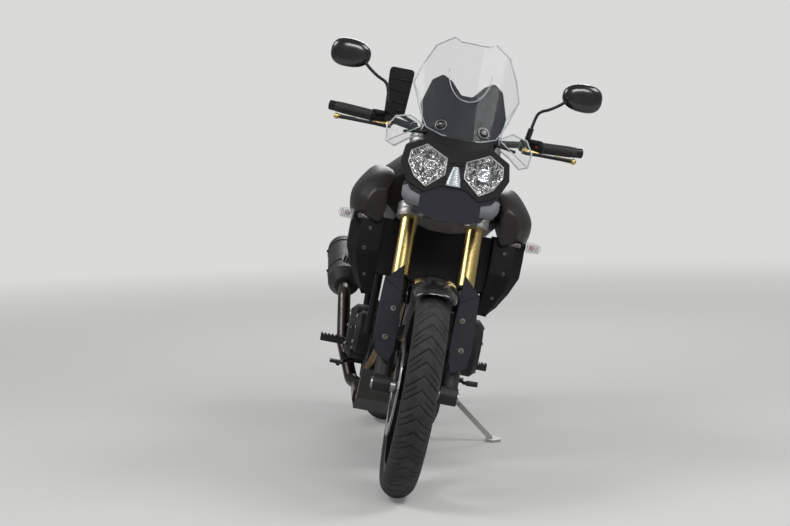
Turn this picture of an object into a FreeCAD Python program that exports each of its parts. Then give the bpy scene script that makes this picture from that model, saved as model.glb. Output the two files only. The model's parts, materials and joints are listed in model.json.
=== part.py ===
import FreeCAD, Part
import math
import os
from FreeCAD import Placement, Rotation, Vector

# Adventure motorcycle standing on its side stand.
# The model is laid out upright: X forward, Y to the rider's left, Z up, with X = 0 midway
# between the wheels' contact points. Every piece is then leaned over as one by STANCE.

# Driving dimensions in millimetres and degrees: alias, value, what it is
SIZES = [
    ("wheelbase", 1555, "between the wheels' contact points"),
    ("lean_deg", 12.5, "lean to the rider's left on the side stand"),
    ("origin_x", 5.0, "middle of the whole machine's length, upright frame"),
    ("origin_y", 249.7, "middle of the whole machine's width, leaned frame"),
    ("rake_deg", 23.7, "steering axis behind vertical"),
    ("yoke_offset", 40, "fork legs ahead of the steering axis"),
    ("axle_lead", 14, "front axle ahead of the fork legs"),
    ("leg_half", 103, "fork leg centre from the middle plane"),
    ("run_gap", 0.3, "running gap between moving faces"),
    ("seat_gap", 0.3, "gap between seated pieces"),
    ("clear_gap", 6, "free space round pieces that move"),
    ("front_radius", 331, "front tyre outside radius"),
    ("front_width", 104, "front tyre width"),
    ("front_crown", 44, "front tyre rise from its widest point to its crown"),
    ("front_bead", 246, "front tyre bead radius"),
    ("front_rim_half", 38, "half of the front rim width between its flanges"),
    ("rear_radius", 321, "rear tyre outside radius"),
    ("rear_width", 150, "rear tyre width"),
    ("rear_crown", 55, "rear tyre rise from its widest point to its crown"),
    ("rear_bead", 222, "rear tyre bead radius"),
    ("rear_rim_half", 56, "half of the rear rim width between its flanges"),
    ("bead_height", 14, "straight wall of the tyre behind the rim flange"),
    ("flange_wall", 6, "rim flange thickness"),
    ("barrel_wall", 8, "rim barrel thickness"),
    ("spoke_count", 10, "cast spokes in each wheel"),
    ("spoke_root", 26, "spoke width at the hub"),
    ("spoke_tip", 17, "spoke width at the rim"),
    ("spoke_depth", 30, "spoke thickness along the axle"),
    ("hub_radius", 38, "hub barrel radius"),
    ("front_hub_half", 56, "half of the front hub length"),
    ("rear_hub_half", 76, "half of the rear hub length"),
    ("axle_radius", 12, "wheel axle radius"),
    ("axle_bore", 8.5, "radius of the hole through each hollow axle"),
    ("disc_wall", 5, "brake disc thickness"),
    ("front_disc", 154, "front brake disc radius"),
    ("rear_disc", 127, "rear brake disc radius"),
    ("disc_band", 34, "height of the braking band"),
    ("slider_radius", 21.5, "fork inner tube radius"),
    ("tube_radius", 27, "fork outer tube radius"),
    ("foot_radius", 27, "fork foot casting radius"),
    ("foot_height", 130, "fork foot above the axle"),
    ("tube_low", 345, "lower end of the outer tubes above the axle"),
    ("tube_high", 826, "upper end of the outer tubes above the axle"),
    ("yoke_low", 545, "underside of the lower yoke above the axle"),
    ("yoke_low_wall", 45, "lower yoke depth"),
    ("yoke_high", 790, "underside of the upper yoke above the axle"),
    ("yoke_high_wall", 32, "upper yoke depth"),
    ("clamp_radius", 41, "yoke clamp outside radius"),
    ("head_radius", 33, "head tube radius"),
    ("bar_radius", 11, "handlebar tube radius"),
    ("bar_half", 397, "handlebar half width over the weights"),
    ("bar_end_z", 1120, "height of the grips' outer ends"),
    ("bar_mid_z", 1096, "height of the handlebar at its clamps"),
    ("grip_radius", 17, "grip radius"),
    ("grip_length", 120, "grip length"),
    ("frame_tube", 14, "main frame tube radius"),
    ("tank_low", 800, "height that the front tank pads reach up to before they meet the tank"),
    ("rail_tube", 11, "rear frame tube radius"),
    ("plate_wall", 12, "thickness of the swingarm pivot plates"),
    ("pivot_x", -205, "swingarm pivot place along the machine"),
    ("pivot_z", 370, "swingarm pivot height"),
    ("arm_inner", 112, "inner face of the swingarm's arms"),
    ("arm_wall", 28, "width of the swingarm's arms"),
    ("chain_y", 95, "chain line from the middle plane"),
    ("chain_pitch", 15.875, "chain pitch"),
    ("front_teeth", 16, "teeth on the front sprocket"),
    ("rear_teeth", 50, "teeth on the rear sprocket"),
    ("sprocket_wall", 7, "sprocket thickness"),
    ("engine_half", 135, "half of the crankcase width"),
    ("stand_pivot_x", -250, "side stand pivot along the machine"),
    ("stand_pivot_y", 150, "side stand pivot from the middle plane"),
    ("stand_pivot_z", 238, "side stand pivot height"),
    ("stand_forward", 46, "stand foot ahead of its pivot"),
    ("stand_foot_y", 366, "stand foot from the middle plane, upright frame"),
    ("lens_share", 0.994, "headlamp lens outline as a share of its opening"),
    ("screen_wall", 4, "windscreen thickness"),
    ("panel_wall", 5, "body panel thickness"),
]

doc = FreeCAD.newDocument("adventure_motorcycle")
sheet = doc.addObject("Spreadsheet::Sheet", "sizes")
for row, (alias, number, meaning) in enumerate(SIZES, start=1):
    sheet.set("A%d" % row, alias)
    sheet.set("B%d" % row, str(number))
    sheet.setAlias("B%d" % row, alias)
    sheet.set("C%d" % row, meaning)
doc.recompute()


class SheetReader:
    """Reads a driving dimension from the sheet by its alias."""

    def __getattr__(self, alias):
        return float(sheet.get(alias))


S = SheetReader()
X = Vector(1, 0, 0)
Y = Vector(0, 1, 0)
Z = Vector(0, 0, 1)
NODES = []


# Worked-out places

LEAN = math.radians(S.lean_deg)
RAKE = math.radians(S.rake_deg)


def crown_radius(width, rise):
    """Radius of the tread arc from the tyre's width and the arc's rise."""
    half = width / 2
    return (half * half + rise * rise) / (2 * rise)


def axle_height(radius, crown):
    """Height of the axle, upright, that lets the leaned tyre touch the ground."""
    return radius + crown * (1 / math.cos(LEAN) - 1)


FRONT_AXLE = Vector(S.wheelbase / 2, 0, axle_height(S.front_radius, crown_radius(S.front_width, S.front_crown)))
REAR_AXLE = Vector(-S.wheelbase / 2, 0, axle_height(S.rear_radius, crown_radius(S.rear_width, S.rear_crown)))
PIVOT = Vector(S.pivot_x, 0, S.pivot_z)
LEG_UP = Vector(-math.sin(RAKE), 0, math.cos(RAKE))
LEG_FORWARD = Vector(math.cos(RAKE), 0, math.sin(RAKE))
LEG_BASE = FRONT_AXLE - LEG_FORWARD * S.axle_lead
STEER_BASE = LEG_BASE - LEG_FORWARD * S.yoke_offset
FORK = Placement(LEG_BASE, Rotation(Y, -S.rake_deg))
STANCE = Placement(Vector(-S.origin_x, -S.origin_y, 0), Rotation(X, -S.lean_deg))


def pitch_radius(teeth):
    """Pitch radius of a sprocket for the chain."""
    return S.chain_pitch / (2 * math.sin(math.pi / teeth))


FRONT_SPROCKET = Vector(S.pivot_x + 92, S.chain_y, S.pivot_z + 15)
REAR_SPROCKET = Vector(REAR_AXLE.x, S.chain_y, REAR_AXLE.z)


# Shape helpers

def rounded_wire(points, radius):
    """Closed wire through the points with every corner rounded by an arc."""
    edges = []
    count = len(points)
    starts = []
    ends = []
    mids = []
    for i in range(count):
        here = points[i]
        back = points[i - 1] - here
        ahead = points[(i + 1) % count] - here
        half = back.getAngle(ahead) / 2
        reach = min(radius / math.tan(half), 0.48 * back.Length, 0.48 * ahead.Length)
        size = reach * math.tan(half)
        back.normalize()
        ahead.normalize()
        middle = back + ahead
        middle.normalize()
        starts.append(here + back * reach)
        ends.append(here + ahead * reach)
        mids.append(here + middle * (size / math.sin(half) - size))
    for i in range(count):
        edges.append(Part.Arc(starts[i], mids[i], ends[i]).toShape())
        edges.append(Part.LineSegment(ends[i], starts[(i + 1) % count]).toShape())
    return Part.Wire(edges)


def prism(points, push, radius=0.0):
    """Solid pushed from a closed outline, its corners rounded where a radius is given."""
    wire = rounded_wire(points, radius) if radius else Part.makePolygon(points + [points[0]])
    return Part.Face(wire).extrude(push)


def side_prism(outline, y_low, y_high, radius=0.0):
    """Solid from an (x, z) outline between two planes across the machine."""
    points = [Vector(x, y_low, z) for x, z in outline]
    return prism(points, Vector(0, y_high - y_low, 0), radius)


def loft(sections, radius, ruled=False):
    """Solid through closed sections, each a list of points with as many corners."""
    return Part.makeLoft([rounded_wire(points, radius) for points in sections], True, ruled)


def across(x, half_outline):
    """Section across the machine from (y, z) pairs on the left, top to bottom."""
    left = [Vector(x, y, z) for y, z in half_outline]
    right = [Vector(x, -y, z) for y, z in reversed(half_outline)]
    return left + right


def bent_tube(points, radius, bend):
    """Round tube along straight runs joined by tangent arcs."""
    edges = []
    last = points[0]
    for i in range(1, len(points) - 1):
        here = points[i]
        back = points[i - 1] - here
        ahead = points[i + 1] - here
        half = back.getAngle(ahead) / 2
        reach = min(bend / math.tan(half), 0.45 * back.Length, 0.45 * ahead.Length)
        size = reach * math.tan(half)
        back.normalize()
        ahead.normalize()
        middle = back + ahead
        middle.normalize()
        start = here + back * reach
        stop = here + ahead * reach
        edges.append(Part.LineSegment(last, start).toShape())
        edges.append(Part.Arc(start, here + middle * (size / math.sin(half) - size), stop).toShape())
        last = stop
    edges.append(Part.LineSegment(last, points[-1]).toShape())
    path = Part.Wire(edges)
    circle = Part.Wire([Part.Circle(points[0], points[1] - points[0], radius).toShape()])
    return path.makePipeShell([circle], True, True)


def rod(start, end, radius):
    """Straight round bar between two points."""
    return Part.makeCylinder(radius, (end - start).Length, start, end - start)


def mirrored(shape):
    """The same shape on the other side of the middle plane."""
    return shape.mirror(Vector(0, 0, 0), Y)


def pair(shape):
    """A shape and its mirror image as two solids."""
    return Part.makeCompound([shape, mirrored(shape)])


def in_fork(shape):
    """A shape made along the fork leg's axis, put in its place."""
    moved = shape.copy()
    moved.Placement = FORK.multiply(moved.Placement)
    return moved


def on_leg(forward, side, up):
    """Upright-frame point from fork-leg coordinates."""
    return FORK.multVec(Vector(forward, side, up))


# Document helpers

def bind(obj, **expressions):
    """Binds properties of a document object to the sheet."""
    for name, expression in expressions.items():
        obj.setExpression(name, expression)


def cylinder(name, radius, height, base, direction):
    """Part::Cylinder whose radius and height are bound to sheet expressions."""
    obj = doc.addObject("Part::Cylinder", name)
    bind(obj, Radius=radius, Height=height)
    obj.Placement = Placement(base, Rotation(Z, direction))
    return obj


def keep(name, obj):
    """Names an object as a sub-part and leans it with the machine."""
    doc.recompute()
    obj.Label = name
    obj.Placement = STANCE.multiply(obj.Placement)
    NODES.append(obj)
    return obj


def feature(name, shape):
    """Sub-part whose shape is worked out here from the sheet's values."""
    obj = doc.addObject("Part::Feature", name)
    obj.Shape = shape
    return keep(name, obj)


def upright(name):
    """Shape of a finished sub-part, back in the upright frame."""
    shape = [node for node in NODES if node.Label == name][0].Shape.copy()
    shape.Placement = STANCE.inverse().multiply(shape.Placement)
    return shape


def less(name, base, tool):
    """Part::Cut of document objects."""
    cut = doc.addObject("Part::Cut", name)
    cut.Base = base
    cut.Tool = tool
    return cut


def origin_feature(body, role):
    """A plane or axis of the body's own origin."""
    for item in body.Origin.OriginFeatures:
        if item.Role == role:
            return item
    raise ValueError(role)


def sketch_on(body, name, plane, edges):
    """Sketch on one of the body's origin planes with the given geometry."""
    sketch = body.newObject("Sketcher::SketchObject", name)
    sketch.AttachmentSupport = [(origin_feature(body, plane), "")]
    sketch.MapMode = "FlatFace"
    for edge in edges:
        sketch.addGeometry(edge, False)
    return sketch


def revolve(body, name, sketch):
    """Full revolution of a sketch about its vertical axis."""
    turn = body.newObject("PartDesign::Revolution", name)
    turn.Profile = sketch
    turn.ReferenceAxis = (sketch, ["V_Axis"])
    turn.Angle = 360
    return turn


def closed_lines(corners):
    """Line segments round a list of (u, v) sketch corners."""
    points = [Vector(u, v, 0) for u, v in corners]
    pairs = zip(points, points[1:] + points[:1])
    return [Part.LineSegment(start, end) for start, end in pairs]


# Wheels

def tyre(name, axle, radius, width, rise, bead, rim_half):
    """Tyre as one turned ring with a round crown and bulging side walls."""
    body = doc.addObject("PartDesign::Body", name)
    wall = bead + S.bead_height
    side = radius - rise
    corners = [(bead, -rim_half), (wall, -rim_half), (side, -width / 2), (radius, 0),
               (side, width / 2), (wall, rim_half), (bead, rim_half)]
    p = [Vector(u, v, 0) for u, v in corners]
    bulge = Vector((wall + side) / 2 - 3, width / 2 - 2.5, 0)
    bulge_other = Vector(bulge.x, -bulge.y, 0)
    edges = [Part.LineSegment(p[0], p[1]), Part.Arc(p[1], bulge_other, p[2]), Part.Arc(p[2], p[3], p[4]),
             Part.Arc(p[4], bulge, p[5]), Part.LineSegment(p[5], p[6]), Part.LineSegment(p[6], p[0])]
    revolve(body, name + "_turned", sketch_on(body, name + "_section", "XY_Plane", edges))
    body.Placement = Placement(axle, Rotation())
    return keep(name, body)


def rim(name, axle, bead, rim_half, hub_half, disc_seat, carrier):
    """Cast wheel: hub, spokes and rim, with a boss for each disc and any sprocket carrier."""
    body = doc.addObject("PartDesign::Body", name)
    bore = S.axle_radius + S.run_gap
    hub = [(bore, -hub_half), (disc_seat, -hub_half), (disc_seat, -hub_half + 10), (S.hub_radius, -hub_half + 22),
           (S.hub_radius, hub_half - 22), (carrier, hub_half - 10), (carrier, hub_half), (bore, hub_half)]
    revolve(body, name + "_hub", sketch_on(body, name + "_hub_section", "XY_Plane", closed_lines(hub)))
    outer = bead - S.seat_gap
    edge = rim_half + S.seat_gap
    lip = edge + S.flange_wall
    inner = outer - S.barrel_wall
    rib = inner - 12
    ring = [(inner, -lip), (outer + S.bead_height, -lip), (outer + S.bead_height, -edge), (outer, -edge),
            (outer, edge), (outer + S.bead_height, edge), (outer + S.bead_height, lip), (inner, lip),
            (inner, S.spoke_depth / 2), (rib, S.spoke_depth / 3), (rib, -S.spoke_depth / 3), (inner, -S.spoke_depth / 2)]
    revolve(body, name + "_ring", sketch_on(body, name + "_ring_section", "XY_Plane", closed_lines(ring)))
    root = S.hub_radius - 5
    spoke = [(root, -S.spoke_root / 2), (rib + 4, -S.spoke_tip / 2), (rib + 4, S.spoke_tip / 2), (root, S.spoke_root / 2)]
    pad = body.newObject("PartDesign::Pad", name + "_spoke")
    pad.Profile = sketch_on(body, name + "_spoke_outline", "XZ_Plane", closed_lines(spoke))
    pad.SideType = "Symmetric"
    pad.setExpression("Length", "sizes.spoke_depth * 0.72")
    spread = body.newObject("PartDesign::PolarPattern", name + "_spokes")
    spread.Originals = [pad]
    spread.Axis = (origin_feature(body, "Y_Axis"), [""])
    spread.Angle = 360
    spread.Occurrences = int(S.spoke_count)
    body.Tip = spread
    body.Placement = Placement(axle, Rotation())
    return keep(name, body)


def disc_blank(name, radius, base):
    """Brake disc blank with its centre hole, bound to the sheet."""
    blank = cylinder(name + "_blank", radius, "sizes.disc_wall", base, Y)
    hole = cylinder(name + "_hole", "sizes.axle_radius + 8", "sizes.disc_wall", base, Y)
    return less(name + "_plate", blank, hole)


def wheels():
    tyre("front_tyre", FRONT_AXLE, S.front_radius, S.front_width, S.front_crown, S.front_bead, S.front_rim_half)
    tyre("rear_tyre", REAR_AXLE, S.rear_radius, S.rear_width, S.rear_crown, S.rear_bead, S.rear_rim_half)
    rim("front_rim", FRONT_AXLE, S.front_bead, S.front_rim_half, S.front_hub_half, 52, 52)
    rim("rear_rim", REAR_AXLE, S.rear_bead, S.rear_rim_half, S.rear_hub_half, 52, 66)
    seat = S.front_hub_half
    discs = [disc_blank("front_disc_left", "sizes.front_disc", FRONT_AXLE + Y * seat),
             disc_blank("front_disc_right", "sizes.front_disc", FRONT_AXLE - Y * (seat + S.disc_wall))]
    both = doc.addObject("Part::Compound", "front_discs")
    both.Links = discs
    keep("front_discs", both)
    rear = disc_blank("rear_disc", "sizes.rear_disc", REAR_AXLE - Y * (S.rear_hub_half + S.disc_wall))
    keep("rear_disc", rear)


def axles():
    """Hollow axles with the spacers that hold the wheels in their forks."""
    reach = S.leg_half + S.foot_radius + 4
    inner = S.front_hub_half + S.run_gap
    stop = S.leg_half - S.foot_radius
    spacer = S.axle_radius + 5
    front = Part.makeCylinder(S.axle_radius, 2 * reach, FRONT_AXLE - Y * reach, Y)
    for side in (1, -1):
        front = front.fuse(Part.makeCylinder(spacer, stop - inner, FRONT_AXLE + Y * side * inner, Y * side))
        front = front.fuse(Part.makeCylinder(spacer, 4, FRONT_AXLE + Y * side * (reach - 4), Y * side))
    front = front.cut(Part.makeCylinder(S.axle_bore, 2 * reach, FRONT_AXLE - Y * reach, Y))
    feature("front_axle", front)
    outer = S.arm_inner + S.arm_wall
    reach = outer + 12
    rear = Part.makeCylinder(S.axle_radius, 2 * reach, REAR_AXLE - Y * reach, Y)
    for side in (1, -1):
        face = S.rear_hub_half + S.run_gap
        rear = rear.fuse(Part.makeCylinder(spacer, S.arm_inner - face, REAR_AXLE + Y * side * face, Y * side))
        rear = rear.fuse(Part.makeCylinder(spacer, reach - outer, REAR_AXLE + Y * side * outer, Y * side))
    rear = rear.cut(Part.makeCylinder(S.axle_bore, 2 * reach, REAR_AXLE - Y * reach, Y))
    feature("rear_axle", rear)


# Front fork and steering

def fork():
    both = doc.addObject("Part::Compound", "fork_tubes")
    both.Links = [cylinder("fork_tube", "sizes.tube_radius", "sizes.tube_high - sizes.tube_low",
                           on_leg(0, side * S.leg_half, S.tube_low), LEG_UP) for side in (1, -1)]
    keep("fork_tubes", both)
    boss = S.axle_radius + 16
    foot = Part.makeCylinder(S.foot_radius, S.foot_height + 8, Vector(0, S.leg_half, -8), Z)
    lug = Part.makeCylinder(boss, 2 * S.foot_radius, Vector(S.axle_lead, S.leg_half - S.foot_radius, 0), Y)
    foot = foot.fuse(lug)
    hole = Part.makeCylinder(S.axle_radius + S.seat_gap, 4 * S.foot_radius,
                             Vector(S.axle_lead, S.leg_half - 2 * S.foot_radius, 0), Y)
    slider = Part.makeCylinder(S.slider_radius, S.tube_low - S.foot_height, Vector(0, S.leg_half, S.foot_height), Z)
    feature("fork_legs", pair(in_fork(foot.cut(hole).fuse(slider))))


def yoke(low, wall, stem_low, stem_high):
    """One fork yoke: a clamp round each leg and a bridge over the steering axis."""
    reach = S.clamp_radius
    outline = [(-S.yoke_offset - 30, 32), (-16, S.leg_half), (12, S.leg_half), (22, 60), (22, -60), (12, -S.leg_half),
               (-16, -S.leg_half), (-S.yoke_offset - 30, -32)]
    body = prism([Vector(x, y, low) for x, y in outline], Z * wall, 8)
    for side in (1, -1):
        body = body.fuse(Part.makeCylinder(reach, wall, Vector(0, side * S.leg_half, low), Z))
    for side in (1, -1):
        hole = Part.makeCylinder(S.tube_radius + S.seat_gap, wall, Vector(0, side * S.leg_half, low), Z)
        body = body.cut(hole)
    stem = Part.makeCylinder(S.head_radius - 15, stem_high - stem_low, Vector(-S.yoke_offset, 0, stem_low), Z)
    return in_fork(body.fuse(stem))


def yokes():
    low_top = S.yoke_low + S.yoke_low_wall
    high_top = S.yoke_high + S.yoke_high_wall
    lower = yoke(S.yoke_low, S.yoke_low_wall, low_top, S.yoke_high - S.seat_gap)
    upper = yoke(S.yoke_high, S.yoke_high_wall, high_top, high_top + 10)
    feature("fork_yokes", Part.makeCompound([lower, upper]))


BAR_MID = STEER_BASE + LEG_FORWARD * 26 + LEG_UP * ((S.bar_mid_z - STEER_BASE.z) / math.cos(RAKE) - 11)
GRIP_END = Vector(BAR_MID.x - 100, S.bar_half - 8, S.bar_end_z)
GRIP_ROOT = Vector(BAR_MID.x - 55, S.bar_half - 8 - S.grip_length, S.bar_end_z - 6)
GRIP_WAY = (GRIP_END - GRIP_ROOT).normalize()
BAR_RISE = Vector(BAR_MID.x - 10, 120, BAR_MID.z + 3)
BAR_OUTER = GRIP_ROOT - GRIP_WAY * 84


def handlebar():
    middle = Vector(BAR_MID.x, 70, BAR_MID.z)
    half = [middle, BAR_RISE, BAR_OUTER, GRIP_END]
    points = [Vector(p.x, -p.y, p.z) for p in reversed(half)] + half
    bar = bent_tube(points, S.bar_radius, 40)
    for side in (1, -1):
        end = Vector(GRIP_END.x, side * GRIP_END.y, GRIP_END.z)
        way = Vector(GRIP_WAY.x, side * GRIP_WAY.y, GRIP_WAY.z)
        bar = bar.fuse(Part.makeCylinder(S.grip_radius - 1, 22, end, way))
    top = on_leg(0, 0, S.yoke_high + S.yoke_high_wall)
    for side in (1, -1):
        foot = on_leg(-14, side * 48, S.yoke_high + S.yoke_high_wall + S.seat_gap)
        riser = prism([foot + LEG_FORWARD * u + Y * v for u, v in ((-20, -14), (20, -14), (20, 14), (-20, 14))],
                      LEG_UP * ((BAR_MID - top).dot(LEG_UP) + S.bar_radius + 9), 5)
        bar = bar.fuse(riser)
    feature("handlebar", bar)


def grips():
    grip = rod(GRIP_ROOT, GRIP_END - GRIP_WAY * 0.5, S.grip_radius)
    grip = grip.cut(rod(GRIP_ROOT - GRIP_WAY * 2, GRIP_END + GRIP_WAY * 2, S.bar_radius + S.seat_gap))
    feature("grips", pair(grip))


def perch_clamp():
    """Clamp round the bar that carries a lever and a mirror."""
    start = GRIP_ROOT - GRIP_WAY * 66
    return rod(start, start + GRIP_WAY * 26, S.bar_radius + 8)


def controls():
    """Switch housings, lever perches and levers, one of each a side."""
    start = GRIP_ROOT - GRIP_WAY * 38
    housing = rod(start, GRIP_ROOT - GRIP_WAY * S.seat_gap, S.grip_radius + 5)
    bore = rod(start - GRIP_WAY * 2, GRIP_ROOT + GRIP_WAY * 2, S.bar_radius + S.seat_gap)
    housing = housing.cut(bore)
    start = GRIP_ROOT - GRIP_WAY * 66
    perch = perch_clamp()
    ahead = Vector(0.93, 0, -0.36)
    arm = rod(start + GRIP_WAY * 13, start + GRIP_WAY * 13 + ahead * 46, 9)
    perch = perch.fuse(arm).cut(rod(start - GRIP_WAY * 2, GRIP_ROOT, S.bar_radius + S.seat_gap))
    feature("bar_controls", Part.makeCompound([housing, mirrored(housing), perch, mirrored(perch)]))
    root = start + GRIP_WAY * 13 + ahead * (46 + S.seat_gap)
    tip = root + Y * 165 + X * -62 + Z * -4
    blade = bent_tube([root, root + ahead * 14, root + ahead * 9 + Y * 40, tip], 5.5, 60)
    ball = Part.makeSphere(9, tip)
    feature("levers", pair(blade.fuse(ball)))


def mirrors():
    foot = GRIP_ROOT - GRIP_WAY * 53 + Z * (S.bar_radius + 8 + S.seat_gap)
    knee = Vector(foot.x - 4, foot.y + 4, 1222)
    elbow = Vector(345, 275, 1272)
    hand = Vector(334, 332, 1297)
    stalk = bent_tube([foot, knee, elbow, hand], 5.5, 22)
    stalk = stalk.fuse(Part.makeCylinder(9, 22, foot, Z)).cut(perch_clamp())
    centre = Vector(330, 374, 1304)
    outline = [(-60, -20), (-52, 22), (-20, 37), (30, 36), (60, 22), (66, -4), (50, -28), (0, -37), (-40, -36)]
    front = [Vector(centre.x + 16, centre.y + y * 0.72, centre.z + z * 0.72) for y, z in outline]
    middle = [Vector(centre.x, centre.y + y, centre.z + z) for y, z in outline]
    back = [Vector(centre.x - 16, centre.y + y * 0.97, centre.z + z * 0.97) for y, z in outline]
    head = loft([front, middle, back], 20, True)
    feature("mirrors", pair(stalk.fuse(head)))


def navigator():
    """Slim upright case clamped to the bar on the right, with its arm."""
    low = Vector(306, -238, 1126)
    outline = [(-32, 0), (32, 0), (40, 150), (-40, 150)]
    points = [low + Vector(-z * 0.1, y + 34, z) for y, z in outline]
    case = prism(points, Vector(26, 0, 3), 12)
    knee, root = BAR_RISE, BAR_OUTER
    right_knee = Vector(knee.x, -knee.y, knee.z)
    right_root = Vector(root.x, -root.y, root.z)
    way = (right_root - right_knee).normalize()
    middle = right_knee + way * 22
    clamp = rod(middle - way * 9, middle + way * 9, S.bar_radius + 7)
    arm = rod(middle + Z * (S.bar_radius + 3), Vector(low.x + 12, -206, low.z + 14), 6)
    body = case.fuse(arm).fuse(clamp)
    feature("navigator_case", body.cut(rod(middle - way * 20, middle + way * 20, S.bar_radius + S.seat_gap)))


def guards():
    """Shields in front of the sliders, from the outer tubes down to the axle."""
    outline = [(-24, 46), (-30, 300), (-26, 400), (30, 415), (52, 380), (44, 300), (26, 60), (10, 40)]
    centre = S.leg_half + 4
    outer = []
    inner = []
    for v, up in outline:
        outer.append(Vector(44, centre + v, up))
        inner.append(Vector(44 - 6, centre + v, up))
    face = prism(outer, Vector(-S.panel_wall, 0, 0), 14)
    wing = [(-24, 60), (-24, 300), (44, 330), (44, 90)]
    side = prism([Vector(x, centre + 37, up) for x, up in wing], Vector(0, -S.panel_wall, 0), 10)
    stay = Part.makeBox(44 - S.slider_radius - 2, 20, 60, Vector(S.slider_radius + 1, S.leg_half - 10, 200))
    ring = Part.makeCylinder(S.slider_radius + 7, 60, Vector(0, S.leg_half, 200), Z)
    ring = ring.cut(Part.makeCylinder(S.slider_radius + S.seat_gap, 60, Vector(0, S.leg_half, 200), Z))
    guard = face.fuse(side).fuse(ring).fuse(stay.cut(Part.makeCylinder(S.slider_radius + 1, 60, Vector(0, S.leg_half, 200), Z)))
    feature("fork_guards", pair(in_fork(guard)))


def front_mudguard():
    """Arched guard over the front tyre, carried by the sliders."""
    inner = S.front_radius + 16
    outer = inner + S.panel_wall
    half = 62
    ring = Part.makeCylinder(outer, 2 * half, FRONT_AXLE - Y * half, Y)
    ring = ring.cut(Part.makeCylinder(inner, 2 * half, FRONT_AXLE - Y * half, Y))
    skirt = Part.makeCylinder(outer, 2 * half, FRONT_AXLE - Y * half, Y)
    skirt = skirt.cut(Part.makeCylinder(inner - 26, 2 * half, FRONT_AXLE - Y * half, Y))
    skirt = skirt.cut(Part.makeCylinder(outer + 1, 2 * half - 2 * S.panel_wall, FRONT_AXLE - Y * (half - S.panel_wall), Y))
    shell = ring.fuse(skirt)
    reach = 2 * outer
    wedge = [Vector(0, 0, 0), Vector(reach * math.cos(math.radians(48)), 0, reach * math.sin(math.radians(48))),
             Vector(0, 0, reach), Vector(-reach * math.cos(math.radians(28)), 0, reach * math.sin(math.radians(28)))]
    window = prism([FRONT_AXLE + p - Y * 2 * half for p in wedge], Y * 4 * half)
    shell = shell.common(window)
    stays = []
    for side in (1, -1):
        reach = S.leg_half - S.slider_radius - S.seat_gap
        block = Part.makeBox(16, reach - half + 3, 70, Vector(-8, half - 3, 268))
        stays.append(in_fork(block if side > 0 else mirrored(block)))
    for stay in stays:
        shell = shell.fuse(stay)
    feature("front_mudguard", shell)


def front_calipers():
    """A caliper behind each fork foot, open round its disc."""
    mid = S.front_hub_half + S.disc_wall / 2
    gap = S.disc_wall / 2 + S.clear_gap
    outline = [(-S.foot_radius - 62, 95), (-S.foot_radius - 0.3, 70), (-S.foot_radius - 0.3, 128), (-S.foot_radius - 30, 168),
               (-S.foot_radius - 66, 160)]
    block = prism([Vector(x, mid - 24, up) for x, up in outline], Y * (S.leg_half - mid + 24), 8)
    slot = Part.makeCylinder(S.front_disc + S.clear_gap, 2 * gap, Vector(S.axle_lead, mid - gap, 0), Y)
    feature("front_calipers", pair(in_fork(block.cut(slot))))


# Frame

STAND_PIVOT = Vector(S.stand_pivot_x, S.stand_pivot_y, S.stand_pivot_z)
STAND_FOOT = Vector(S.stand_pivot_x + S.stand_forward, S.stand_foot_y, S.stand_foot_y * math.tan(LEAN))
STAND_WAY = (STAND_FOOT - STAND_PIVOT).normalize()
STAND_AXIS = STAND_WAY.cross(X * -1).normalize()


def block_between(centre, u_way, n_way, u_range, n_half, w_half):
    """Block in the stand's own directions: u along the leg, n along the hinge."""
    w_way = u_way.cross(n_way)
    start = centre + u_way * u_range[0] - n_way * n_half
    corners = [start - w_way * w_half, start + u_way * (u_range[1] - u_range[0]) - w_way * w_half,
               start + u_way * (u_range[1] - u_range[0]) + w_way * w_half, start + w_way * w_half]
    return prism(corners, n_way * 2 * n_half)


def stand_bracket():
    """Forked lug under the left plate, with the side stand's pivot bolt."""
    base = block_between(STAND_PIVOT, STAND_WAY * -1, STAND_AXIS, (-15, 52), 15, 15)
    slot = block_between(STAND_PIVOT, STAND_WAY * -1, STAND_AXIS, (-20, 24), 8 + S.run_gap, 16)
    bolt = Part.makeCylinder(6, 36, STAND_PIVOT - STAND_AXIS * 18, STAND_AXIS)
    inner = S.arm_inner + S.arm_wall + S.seat_gap
    web = Part.makeBox(34, inner + S.plate_wall - 112, 44, Vector(S.stand_pivot_x - 12, 112, S.stand_pivot_z + 22))
    return base.cut(slot).fuse(bolt).fuse(web)


def spar(side):
    """Upper frame rail from the head to the swingarm plate."""
    points = [Vector(452, side * 32, 925), Vector(306, side * 150, 768), Vector(60, side * 166, 712),
              Vector(-190, side * 156, 590), Vector(-214, side * 150, 440)]
    return bent_tube(points, S.frame_tube, 80)


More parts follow.
